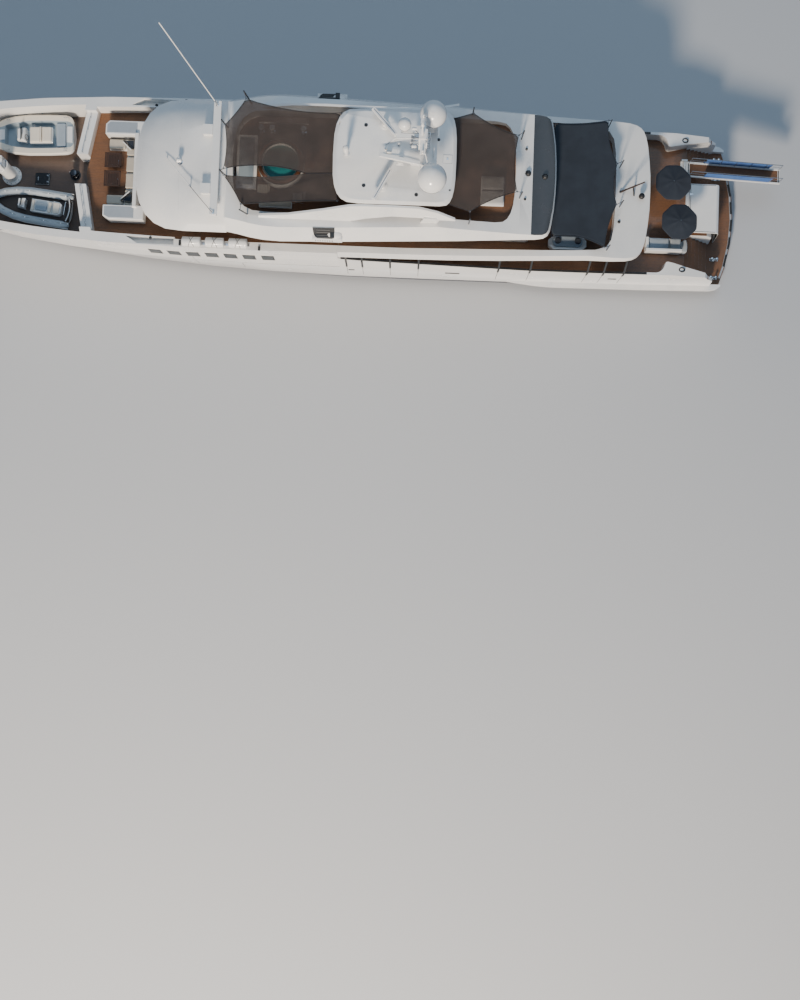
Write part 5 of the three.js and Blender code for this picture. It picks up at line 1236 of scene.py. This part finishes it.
# Inflatable tender. Grey-blue fabric tubes, with white rubbing strips and lashed grab lines, round
# a dark floor. A white box seat, a blue cushion and a small console stand in the middle.
tube_cloth = cloth("tube fabric", (0.56, 0.62, 0.67), (0.46, 0.53, 0.59), thread=0.0015, sheen=0.1)
FLOAT_FRAME = placed((15.15, 2.45, 4.55), -0.125)
dark_sole = weathered("dark sole", (0.05, 0.035, 0.03), (0.09, 0.07, 0.06), 0.6, 0.8, bump=0.5, grain=180.0)
TUBE = 0.235
PORT_TUBE = [(0.06, 0.9, 0.6), (0.5, 0.91, 0.6), (1.6, 0.91, 0.61), (2.8, 0.89, 0.62), (3.6, 0.8, 0.64),
             (4.3, 0.6, 0.67), (4.8, 0.34, 0.69), (5.1, 0.1, 0.7)]
tube_path = PORT_TUBE + [(x, -y, z) for x, y, z in PORT_TUBE[::-1]]
tubes = Maker(tube_cloth, tender_gel, rubber_and_shade)
tubes.turned_by = FLOAT_FRAME
tubes.rod(tube_path, [0.1] + [TUBE] * (len(tube_path) - 2) + [0.1], sides=20)
for _, hand in SIDES:
    strip = [(x, y + hand * (TUBE - 0.012) * (1 if abs(y) > 0.5 else 0.6), z)
             for x, y, z in tube_path if y * hand > 0.3]
    tubes.rod(strip, 0.03, slot=1)
    patches = [Vector((x, y * 0.96, z + TUBE - 0.002)) for x, y, z in tube_path if y * hand > 0.5]
    for a, b in zip(patches, patches[1:]):
        hang = [a.lerp(b, share) - Vector((0, 0, drop)) for share, drop in
                ((0, 0), (0.25, 0.008), (0.5, 0.02), (0.75, 0.008), (1, 0))]
        tubes.rod(hang, 0.01, slot=2, sides=6)
        tubes.turned_by = FLOAT_FRAME @ Matrix.Translation(a)
        tubes.turned((0, 0, -0.01), [(0.05, 0), (0.045, 0.014), (0.02, 0.02)], slot=1, sides=12)
        tubes.turned_by = FLOAT_FRAME
tubes.piece("inflatable_tubes", angle=50, replaces=("inflatable_tender",))
under = Maker(tender_gel, dark_sole)
under.turned_by = FLOAT_FRAME
rings = []
for x, half, keel in ((0.12, 0.72, 0.08), (1.5, 0.76, 0.04), (3.0, 0.72, 0.02), (4.0, 0.52, 0.08),
                      (4.7, 0.24, 0.3), (5.0, 0.06, 0.5)):
    port = [(x, half * 0.55, keel + 0.08), (x, half, 0.42), (x, half * 0.94, 0.455)]
    rings.append([(x, 0, keel), *port, (x, 0, 0.46), *[(a, -b, c) for a, b, c in port[::-1]]])
under.loft(rings, slot=[0, 0, 0, 1, 1, 0, 0, 0])
under.box((0.18, -0.68, 0.4), (0.24, 0.68, 0.74), slot=1)
under.rod([(0.24, -0.7, 0.8), (0.14, -0.35, 0.81), (0.11, 0, 0.81), (0.14, 0.35, 0.81), (0.24, 0.7, 0.8)],
          0.035)
under.piece("inflatable_floor", angle=30, edge=0.01)
seat_box = Maker(tender_gel, black_glass, steel, black_frame)
seat_box.turned_by = FLOAT_FRAME
seat_box.prism([(0.62, -0.28), (0.78, -0.4), (1.15, -0.42), (1.15, 0.42), (0.78, 0.4), (0.62, 0.28)],
               0.455, 0.9)
seat_box.box((1.2, -0.4, 0.455), (2.55, 0.4, 0.82))
across(seat_box, [((2.95, 0.3, 0.455), (3.5, 0.24, 0.455)), ((2.9, 0.3, 1.0), (3.3, 0.22, 1.05))])
across(seat_box, [((3.2, 0.26, 1.03), (3.22, 0.26, 1.03)), ((3.02, 0.2, 1.28), (3.04, 0.2, 1.28))], slot=1)
seat_box.ring((2.82, 0.0, 1.0), 0.13, 0.016, slot=3, steps=20, normal=(-0.85, 0, 0.5))
seat_box.rod([(2.92, 0, 0.96), (2.82, 0, 1.0)], 0.02, slot=2)
seat_box.rod([(0.3, y, z) for y, z in ((-0.4, 0.46), (-0.4, 1.2), (0.4, 1.2), (0.4, 0.46))], 0.025, slot=2)
seat_box.piece("inflatable_seats", edge=0.025, angle=40)
for k, (sides, low, high, material) in enumerate((
        ((1.5, 2.28, -0.24, 0.3), 0.825, 0.92, pale_blue),
        ((1.24, 1.44, -0.34, 0.36), 0.825, 0.96, cream_vinyl),
        ((2.33, 2.5, -0.34, 0.36), 0.825, 0.96, cream_vinyl),
        ((0.7, 1.12, -0.36, 0.36), 0.905, 1.0, cream_vinyl))):
    stuffed(f"inflatable_cushion_{k + 1}", block(*sides), low, high, material, tilt=FLOAT_FRAME, swell=0.01)

# Life rafts. White glassfibre canisters in two halves, banded with black straps and held in steel
# cradles, stand in a row of three on the port bulwark's cap.
RAFT_Y = 4.44
RAFT_Z = 6.55
RAFT_PROFILE = [(-0.58, 0.2), (-0.55, 0.26), (-0.46, 0.295), (0.46, 0.295), (0.55, 0.26), (0.58, 0.2)]
cans = Maker(white_paint, rubber_and_shade, steel)
for x in (4.33, 5.78, 7.23):
    cans.rod([(x + dx, RAFT_Y, RAFT_Z) for dx, _ in RAFT_PROFILE], [radius for _, radius in RAFT_PROFILE],
             sides=24)
    cans.box((x - 0.56, RAFT_Y - 0.3, RAFT_Z - 0.015), (x + 0.56, RAFT_Y + 0.3, RAFT_Z + 0.015))
    for dx in (-0.46, -0.23, 0.23, 0.46):
        cans.turned_by = placed((x + dx, RAFT_Y, RAFT_Z), math.pi / 2, "Y")
        cans.turned((0, 0, -0.02), [(0.298, 0), (0.298, 0.04)])
    cans.turned_by = Matrix()
    for lean_x in (-0.16, 0.16):
        strap = [(x + lean_x * math.cos(a), RAFT_Y + 0.304 * math.cos(a), RAFT_Z + 0.304 * math.sin(a))
                 for a in (k * math.pi / 12 for k in range(13))]
        cans.rod(strap, 0.013, slot=1, sides=6)
    for dx in (-0.34, 0.34):
        cans.box((x + dx - 0.04, RAFT_Y - 0.2, 6.2), (x + dx + 0.04, RAFT_Y + 0.2, 6.3), slot=2)
cans.box((3.67, RAFT_Y - 0.09, 6.202), (7.88, RAFT_Y + 0.09, 6.24), slot=2)
cans.piece("life_raft_row_port", angle=40, replaces=("life_rafts_port",))

# Wheelhouse roof gear. A raised seam across the roof, two white locker lids, a searchlight on a
# steel yoke, and a long whip aerial folded down in two parts behind the arch.
roof = Maker(white_paint, steel, black_glass, sealant_and_shade_black, grey_trim_and_shade)
for y0, y1 in ((-2.05, -1.5), (1.55, 2.1)):
    roof.box((5.77, y0 - 0.03, 8.95), (6.38, y1 + 0.03, 8.985))
roof.turned((7.7, 0.17, 8.58), [(0.16, 0), (0.16, 0.03), (0.08, 0.06), (0.07, 0.16)], slot=1, sides=20)
roof.rod([(7.7, y, z) for y, z in ((0.0, 8.98), (0.0, 8.78), (0.17, 8.74), (0.34, 8.78), (0.34, 8.98))],
         0.022, slot=1)
roof.rod([(x, 0.17, 8.93) for x in (7.55, 7.6, 7.82, 7.84)], [0.06, 0.13, 0.15, 0.15], sides=20)
roof.rod([(7.84, 0.17, 8.93), (7.85, 0.17, 8.93)], 0.13, slot=2, sides=20)
roof.rod([(5.48, 3.42, 9.17), (5.48, 3.42, 9.28)], 0.05, slot=1)
roof.rod([(5.48, 3.42, 9.25), (6.2, 2.62, 9.1), (7.02, 1.68, 8.9)], 0.018, slot=3)
roof.turned((7.02, 1.68, 8.86), [(0.05, 0), (0.06, 0.02), (0.06, 0.07), (0.04, 0.1)], slot=4, sides=12)
roof.rod([(7.02, 1.68, 8.91), (7.8, 0.78, 8.86), (8.62, -0.16, 8.74)], [0.03, 0.028, 0.02])
for foot in ((7.02, 1.68, 8.58), (8.5, -0.03, 8.42)):
    roof.turned(foot, [(0.05, 0), (0.03, 0.02), (0.03, 0.3)], slot=1, sides=10)
roof.rod([(5.3, y / 2, 9.1) for y in range(-7, 8)], 0.018, slot=3, sides=6)
for y in (-3.3, -1.1, 1.1, 3.3):
    roof.box((5.26, y - 0.03, 9.06), (5.34, y + 0.03, 9.13), slot=1)
roof_skin = skin_of("wheelhouse_roof")
roof.rod([top_of(roof_skin, 7.75, y / 4) for y in range(-13, 14)], 0.018)
roof.piece("wheelhouse_roof_gear", angle=40)
cad["whip_aerial"].data.materials[0] = white_paint
base = Maker(steel)
base.turned((5.5, -3.2, 9.152), [(0.1, 0), (0.1, 0.012), (0.05, 0.02)], sides=16)
base.rod([(5.5, -3.2, 9.16), (5.62, -3.282, 9.61)], [0.06, 0.05], sides=12)
base.piece("whip_aerial_foot")

# Windscreen wipers. Pantograph wipers of black steel are parked across the wheelhouse front, one
# to each pane of its glass.
WIPERS = 7
wall_skin = skin_of("wheelhouse_walls")
wipers = Maker(black_frame, steel)
for i in range(WIPERS):
    a = (i - 3) / WIPERS * 2.6
    out_of = Vector((math.cos(a), math.sin(a), 0))
    at = wall_skin.ray_cast(Vector((6.6, 0, 7.42)) + out_of * 9, -out_of)[0]
    foot = at + out_of * 0.03
    swing = UP.cross(out_of) * 0.1 + out_of * 0.06
    wipers.rod([foot, foot + swing - UP * 0.35], 0.012)
    wipers.rod([foot + swing - UP * 0.2, foot + swing - UP * 0.75 + out_of * 0.05], 0.014)
    wipers.rod([at - out_of * 0.02, at + out_of * 0.06], 0.035, slot=1)
wipers.piece("windscreen_wipers")

# Spa tub. A white moulded ring with a teak kerb and two brushed hoops stands on the sundeck, full
# of still water. Ten jets line its inside.
kerb_wood = dress("varnished kerb", plain(planks, {
    "Wood": (0.3, 0.11, 0.04, 1), "Worn": (0.2, 0.075, 0.03, 1), "Width": 0.2, "Seam Share": 0.01}), bump=0.1,
    Coat_Weight=0.4)
gold_rim = weathered("brushed rim", (0.7, 0.6, 0.45), (0.5, 0.42, 0.3), 0.2, 0.4, bump=0.05, cloud=8.0,
                     Metallic=1.0)
TUB = (1.63, 0)
KERB_SECTION = [(1.2, 0), (1.35, 0), (1.36, 0.02), (1.34, 0.04), (1.21, 0.04), (1.19, 0.02)]


def rippled(tree, vector):
    ripple = noise_of(tree, vector, 9.0, 3.0)
    return blend_of(tree, ripple, (0.012, 0.2, 0.21, 1), (0.03, 0.32, 0.31, 1)), 0.05, ripple


water = dress("tub water", rippled, bump=0.25, depth=0.01, Coat_Weight=0.6)
faired("jacuzzi_tub", white_paint, width=0.05)
kerb = Maker(kerb_wood, gold_rim)
turns = circle(48, 1)
kerb.loft([[(TUB[0] + reach * c, reach * s, 8.852 + rise) for reach, rise in KERB_SECTION]
           for c, s in turns + turns[:1]], capped=False)
kerb.ring((*TUB, 8.87), 1.15, 0.045, slot=1, steps=48)
kerb.ring((*TUB, 8.86), 1.385, 0.03, slot=1, steps=48)
for k, at in enumerate(circle(10, 1.055, TUB)):
    kerb.turned_by = placed((*at, 8.38), 2 * math.pi * k / 10) @ Matrix.Rotation(-math.pi / 2, 4, "Y")
    kerb.turned((0, 0, -0.012), [(0.05, 0), (0.045, 0.02), (0.02, 0.025)], slot=1, sides=12)
kerb.piece("tub_kerb")
pool = Maker(water)
pool.turned((*TUB, 8.2), [(0.99, 0), (1.075, 0.48)], sides=48)
pool.piece("tub_water")

# Sundeck furniture. A moulded surround lies forward of the tub. Beside it stand a bar shelf with
# chrome stools, two folding chairs with cream slings, and a round table. Sunpads lie on white
# bases, and four dark domes stand on the aft coaming.
sundeck_skin = skin_of("sundeck")
seatings = Maker(white_paint, steel, kerb_wood, cream_vinyl, cockpit_blue)
seatings.box((3.12, -1.75, 8.0), (4.35, 1.55, 8.34))
seatings.box((3.3, -1.5, 8.34), (4.2, 1.3, 8.4), slot=4)
STOOL_FOOT = [(0.17, 0), (0.17, 0.015), (0.03, 0.03), (0.025, 0.58)]
STOOL_BACK = [(-0.15, -2.28, 8.64), (-0.12, -2.33, 8.82), (0, -2.36, 8.86), (0.12, -2.33, 8.82),
              (0.15, -2.28, 8.64)]
for x in (2.9, 2.25, 0.35):
    seatings.turned((x, -2.15, 8.0), STOOL_FOOT, slot=1, sides=16)
    seatings.turned((x, -2.15, 8.58), [(0.15, 0), (0.18, 0.03), (0.17, 0.07), (0.1, 0.09)], sides=16)
    seatings.rod([(x + dx, y, z) for dx, y, z in STOOL_BACK], 0.014, slot=1)
seatings.box((0.1, -2.78, 8.62), (3.1, -2.48, 8.66), slot=2)
seatings.box((0.1, -2.76, 8.0), (3.1, -2.62, 8.62))
seatings.turned((-0.17, -0.07, 8.0), [(0.2, 0), (0.2, 0.02), (0.04, 0.05), (0.04, 0.46), (0.34, 0.5),
                                      (0.36, 0.53), (0.3, 0.535)], slot=2, sides=28)
seatings.ring((-0.17, -0.07, 8.54), 0.34, 0.014, slot=1, steps=28)
for x, y in ((2.7, 1.55), (0.55, 2.0)):
    for leg_y in (y - 0.26, y + 0.26):
        seatings.rod([(x - 0.35, leg_y, 8.0), (x + 0.3, leg_y, 8.46)], 0.016, slot=1)
        seatings.rod([(x + 0.35, leg_y, 8.0), (x - 0.3, leg_y, 8.46), (x - 0.52, leg_y, 8.85)], 0.016, slot=1)
    for k in range(6):
        aft = x - 0.28 + k * 0.1
        seatings.box((aft, y - 0.25, 8.42), (aft + 0.08, y + 0.25, 8.44), slot=3)
    for k in range(4):
        aft, foot_z = x - 0.36 - k * 0.045, 8.5 + k * 0.09
        seatings.box((aft, y - 0.25, foot_z), (aft + 0.02, y + 0.25, foot_z + 0.07), slot=3)
seatings.piece("sundeck_seats", edge=0.01, angle=40)
bases = Maker(white_paint)
bases.box((0.9, 2.26, 8.0), (2.9, 2.6, 8.28))
bases.box((-11.94, 0.21, 8.005), (-10.51, 1.99, 8.2))
bases.piece("sunpad_bases", edge=0.03)
white_cloth = cloth("white cloth", (0.72, 0.72, 0.7), (0.6, 0.61, 0.62))
stuffed("sunpad_port", block(0.92, 2.88, 2.27, 2.59), 8.285, 8.42, cream)
stuffed("sunpad_aft_1", block(-11.92, -10.53, 0.23, 1.09), 8.205, 8.42, white_cloth,
        replaces=("sundeck_sunpad",))
stuffed("sunpad_aft_2", block(-11.92, -10.53, 1.12, 1.97), 8.205, 8.42, white_cloth)
for x, y, r in ((-13.35, -0.06, 0.19), (-14.39, 0.08, 0.18), (-13.2, -1.54, 0.08), (-13.2, 1.54, 0.08)):
    dome = Maker(sealant_and_shade_black)
    dome.turned((x, y, top_of(sundeck_skin, x, y).z - 0.02),
                [(r, 0), (r, 0.05), (r * 0.8, 0.05 + r * 0.5), (r * 0.4, 0.05 + r * 0.8)], sides=20)
    dome.piece(f"aft_dome_{abs(x):.0f}_{y:.1f}")

# Mesh awnings. See-through charcoal netting, hemmed in tape, is stretched between the arch, the
# hardtop and the steel poles. The forward one is in two parts with a gap over the tub.
netting = cloth("shade netting", (0.075, 0.058, 0.052), (0.11, 0.085, 0.075), opening=0.33, thread=0.004,
                sheen=0.1)
tape = weathered("charcoal tape", (0.025, 0.022, 0.024), (0.06, 0.055, 0.055), 0.6, 0.85, bump=0.2)
FORWARD_PORT = [((3.74, 3.0, 9.9), 0.01, (3.74, 3.42, 10.1)),
                ((-1.95, 2.6, 9.94), 0.0, (-2.05, 2.64, 10.26)),
                ((-1.8, 0.98, 9.92), 0.0, None),
                ((0.0, 1.0, 9.76), 0.03, None),
                ((4.86, 1.26, 9.78), 0.03, (5.03, 1.08, 9.98))]
FORWARD_STARBOARD = [((4.88, 0.86, 9.78), 0.07, (5.03, 1.02, 9.98)),
                     ((0.0, 0.96, 9.76), 0.0, None),
                     ((-1.8, 0.94, 9.92), 0.0, None),
                     ((-2.0, -2.68, 9.94), 0.044, (-2.05, -2.66, 10.26)),
                     ((3.7, -3.34, 9.9), 0.03, (3.78, -3.6, 10.1)),
                     ((4.9, -1.78, 9.8), 0.05, (5.06, -1.92, 9.98))]
AFT_CORNERS = [((-8.45, 2.5, 9.86), 0.0, (-8.4, 2.45, 10.26)),
               ((-9.82, 2.84, 9.6), 0.045, (-9.84, 3.33, 9.7)),
               ((-12.6, 1.48, 9.4), 0.06, (-12.88, 1.53, 9.5)),
               ((-12.6, -1.93, 9.4), 0.045, (-12.88, -2.12, 9.5)),
               ((-9.84, -3.1, 9.6), 0.0, (-9.84, -3.33, 9.7)),
               ((-8.45, -2.55, 9.86), 0.02, (-8.4, -2.5, 10.26))]
for name, corners, sag, replaces in (("awning_forward_port", FORWARD_PORT, 0.06, ("awning_forward",)),
                                     ("awning_forward_starboard", FORWARD_STARBOARD, 0.08, ()),
                                     ("awning_aft", AFT_CORNERS, 0.08, ("awning_aft",))):
    hang_awning(name, corners, netting, sag, tape, replaces)

# Side intakes. Black louvred mouths of the engine-room intakes lie in the slope on both sides of
# the sundeck, with a rounded white cap at the aft end of each.
MOUTH_ROWS = [(-0.46, 4.0), (-0.5, 4.2), (-0.58, 4.34), (-0.72, 4.43), (-1.78, 4.45)]
RIDGE_Y = 4.2
RIDGE_Z = 8.435
CAP_PROFILE = [(0.28, 0), (0.3, 0.1), (0.29, 0.2), (0.24, 0.31), (0.15, 0.38), (0.04, 0.4)]
for side, hand in SIDES:
    mouth = Maker(sealant_and_shade_black, white_paint, grey_fin)
    rings = []
    for x, reach in MOUTH_ROWS:
        ridge = min(RIDGE_Y, reach)
        ridge_z = RIDGE_Z + 2 * (RIDGE_Y - ridge)
        rings.append([(x, hand * y, z) for y, z in ((3.94, 8.94), (ridge, ridge_z), (reach, ridge_z),
                                                    (reach, 8.2), (3.9, 8.2))][::hand])
    mouth.loft(rings)
    for y, z in ((4.03, 8.77), (4.12, 8.59), (4.26, RIDGE_Z), (4.37, RIDGE_Z)):
        mouth.box((-1.5, hand * y, z - 0.05), (-0.68, hand * (y + 0.03), z + 0.03), slot=2)
    mouth.turned_by = placed((-1.76, hand * 4.16, 8.36)) @ Matrix.Diagonal((1.5, 1.0, 0.75, 1.0))
    mouth.turned((0, 0, -0.1), CAP_PROFILE, slot=1, sides=28)
    mouth.turned_by = Matrix()
    mouth.box((-1.76, hand * 3.86, 8.1), (-1.5, hand * 4.44, 8.62))
    mouth.piece(f"intake_mouth_{side}", edge=0.01)
    slat_row(f"intake_side_louvres_{side}", (-1.6, hand * 4.464, 7.9), (-0.6, hand * 4.464, 7.9), 8,
             (0.05, 0.012, 0.28), sealant_and_shade_black)

# Hardtop fittings. Flush black drains and speakers, a stubby white lamp post, a hatch with an
# outlined lid, and the plinths of the radar scanners.
ROOF_Z = 10.49
LAMP_POST = [(0.2, 0), (0.2, 0.03), (0.1, 0.06), (0.1, 0.5), (0.16, 0.54), (0.165, 1.08), (0.12, 1.17),
             (0.03, 1.2)]
fixed = Maker(sealant_and_shade_black, white_paint, grey_trim_and_shade, steel)
for x, y, r in ((-3.5, -1.8, 0.1), (-3.5, 1.8, 0.1), (-6.6, 2.24, 0.1), (-7.8, -1.08, 0.08),
                (-8.55, 1.9, 0.05)):
    fixed.turned((x, y, ROOF_Z), [(r, 0), (r, 0.016), (r * 0.7, 0.022)], sides=20)
    fixed.ring((x, y, ROOF_Z + 0.013), r + 0.012, 0.01, slot=3, steps=20)
fixed.turned((-2.42, 0.0, ROOF_Z), LAMP_POST, slot=1)
fixed.box((-8.62, -0.18, ROOF_Z), (-8.1, 0.3, 10.52), slot=1)
for x0, x1, y0, y1 in ((-8.64, -8.62, -0.2, 0.32), (-8.1, -8.08, -0.2, 0.32), (-8.62, -8.1, -0.2, -0.18),
                       (-8.62, -8.1, 0.3, 0.32)):
    fixed.box((x0, y0, ROOF_Z), (x1, y1, 10.512), slot=2)
fixed.box((-8.4, 0.0, 10.52), (-8.3, 0.12, 10.545), slot=3)
for y in (1.85, -1.85):
    fixed.turned((-4.6, y, 10.5), [(0.3, 0), (0.28, 0.04), (0.18, 0.06)], slot=1)
fixed.piece("hardtop_fittings", edge=0.006)

# Radar scanners. White plastic bars turn on round gearboxes. A thin blue strip on top of two of
# them and a dark strip along each bar's face are painted shade of the bars' edges.
scanner_shade_blue = weathered("painted scanner shade", (0.03, 0.07, 0.15), (0.06, 0.11, 0.18), 0.3, 0.5, bump=0.05)
# The bar's place, its length, and the angle that it rests at.
SCANNERS = {"radar_port": ((-4.6, 1.85, 10.8), 2.05, 1.09),
            "radar_starboard": ((-4.6, -1.85, 10.8), 2.1, -0.83),
            "radar_mast": ((-5.6, 0.95, 12.52), 2.35, -0.18)}
for name, (at, length, spin) in SCANNERS.items():
    faired(name, white_paint, width=0.05)
    strip = Maker(scanner_shade_blue, sealant_and_shade_black)
    strip.turned_by = placed(at, spin)
    # Painted shade: the thin blue strip on top stands for shade along the bar.
    if name != "radar_mast":
        strip.box((-length / 2 + 0.1, -0.02, 0.298), (length / 2 - 0.1, 0.02, 0.306))
    # Painted shade: the dark strip along the face stands for the bar's shaded side.
    strip.box((-length / 2 + 0.05, -0.118, 0.15), (length / 2 - 0.05, -0.11, 0.25), slot=1)
    strip.piece(f"{name}_strip", body=name, edge=0.004)

# Radomes and mast gear. Big white glassfibre domes with a joint round the waist stand on flanged
# feet. Lamps, cameras, horns and thin aerials are clamped to the mast's frames.
DOME_STEPS = 20
DOME_TOP = 1.54
dome_foot = -math.asin(0.72)
for name, x, y, z, radius in (("radome_port", -7.45, 2.05, 12.95, 0.83),
                              ("radome_starboard", -7.4, -1.5, 13.3, 0.75),
                              ("radome_small", -5.8, -1.0, 12.9, 0.37)):
    shape = Maker(white_paint, sealant_and_shade_black, steel)
    tilts = [dome_foot + k / DOME_STEPS * (DOME_TOP - dome_foot) for k in range(DOME_STEPS + 1)]
    shape.turned((x, y, z), [(radius * math.cos(a), radius * math.sin(a)) for a in tilts], sides=48)
    shape.ring((x, y, z - radius * 0.28), radius * 0.962, 0.008, slot=1, steps=48)
    shape.turned((x, y, z - radius * 0.72 - 0.06),
                 [(radius * 0.5, 0), (radius * 0.5, 0.03), (radius * 0.62, 0.055)], slot=2)
    shape.piece(f"{name}_dome", angle=50, replaces=(name,))
LAMPS = [(-6.85, -1.0, 14.12), (-6.85, 1.0, 14.12), (-6.85, 0.0, 14.2), (-4.75, 0.25, 12.25),
         (-7.3, 0.9, 12.02), (-6.2, -0.15, 12.25), (-5.5, -0.05, 12.25)]
# Foot and height.
AERIALS = [(-6.95, 0.75, 14.12, 1.1), (-6.95, -0.75, 14.12, 1.3), (-7.5, 0.5, 12.02, 1.5),
           (-6.9, 0.92, 12.25, 1.2)]
gear = Maker(white_paint, steel, black_glass, sealant_and_shade_black)
for x, y, z in LAMPS:
    gear.turned((x, y, z), [(0.07, 0), (0.07, 0.03), (0.05, 0.05), (0.05, 0.08)], sides=14)
    gear.turned((x, y, z + 0.08), [(0.06, 0), (0.06, 0.1)], slot=2, sides=14)
    gear.turned((x, y, z + 0.18), [(0.07, 0), (0.06, 0.025), (0.02, 0.04)], sides=14)
for x, y, z, high in AERIALS:
    gear.rod([(x, y, z), (x, y, z + 0.2), (x, y, z + high)], [0.03, 0.018, 0.01])
for y in (-0.22, 0.0, 0.22):
    gear.rod([(x, y, 13.1) for x in (-6.64, -6.54, -6.34, -6.19)], [0.04, 0.03, 0.05, 0.1], slot=1, sides=14)
for x, y, z in ((-6.35, 0.45, 13.45), (-6.35, -0.5, 13.6), (-4.95, 0.4, 12.34)):
    gear.rod([(x - 0.15, y, z), (x - 0.1, y, z), (x + 0.12, y, z)], [0.06, 0.09, 0.09], sides=14)
    gear.rod([(x + 0.12, y, z), (x + 0.135, y, z)], 0.075, slot=3, sides=14)
    gear.rod([(x, y, z - 0.08), (x - 0.3, y * 0.5, z - 0.15)], 0.025, slot=1)
for z in (12.6, 13.0, 13.4, 13.8):
    gear.rod([(x, y, z) for x, y in ((-7.09, -0.24), (-7.25, -0.24), (-7.25, 0.24), (-7.09, 0.24))], 0.016,
             slot=1, sides=6)
gear.rod([(-6.8, 0.05, 15.9), (-6.8, 0.05, 16.3)], 0.012, slot=1)
gear.turned((-6.8, 0.05, 15.55), [(0.1, 0), (0.11, 0.02), (0.08, 0.1), (0.03, 0.14)], sides=14)
gear.rod([(-7.0, -1.05, 14.06), (-7.3, -1.5, 13.0)], 0.025)
gear.rod([(-7.0, 1.05, 14.06), (-7.35, 1.7, 12.5)], 0.025)
gear.rod([(-4.75, -0.03, 12.25), (-5.3, -0.32, 12.5), (-6.64, -0.2, 13.0)], 0.03)
gear.rod([(-4.6, 0.5, 12.27), (-5.6, 0.64, 12.3), (-6.6, 1.0, 12.36), (-7.2, 1.9, 12.4)], 0.022)
gear.piece("mast_gear", angle=40)
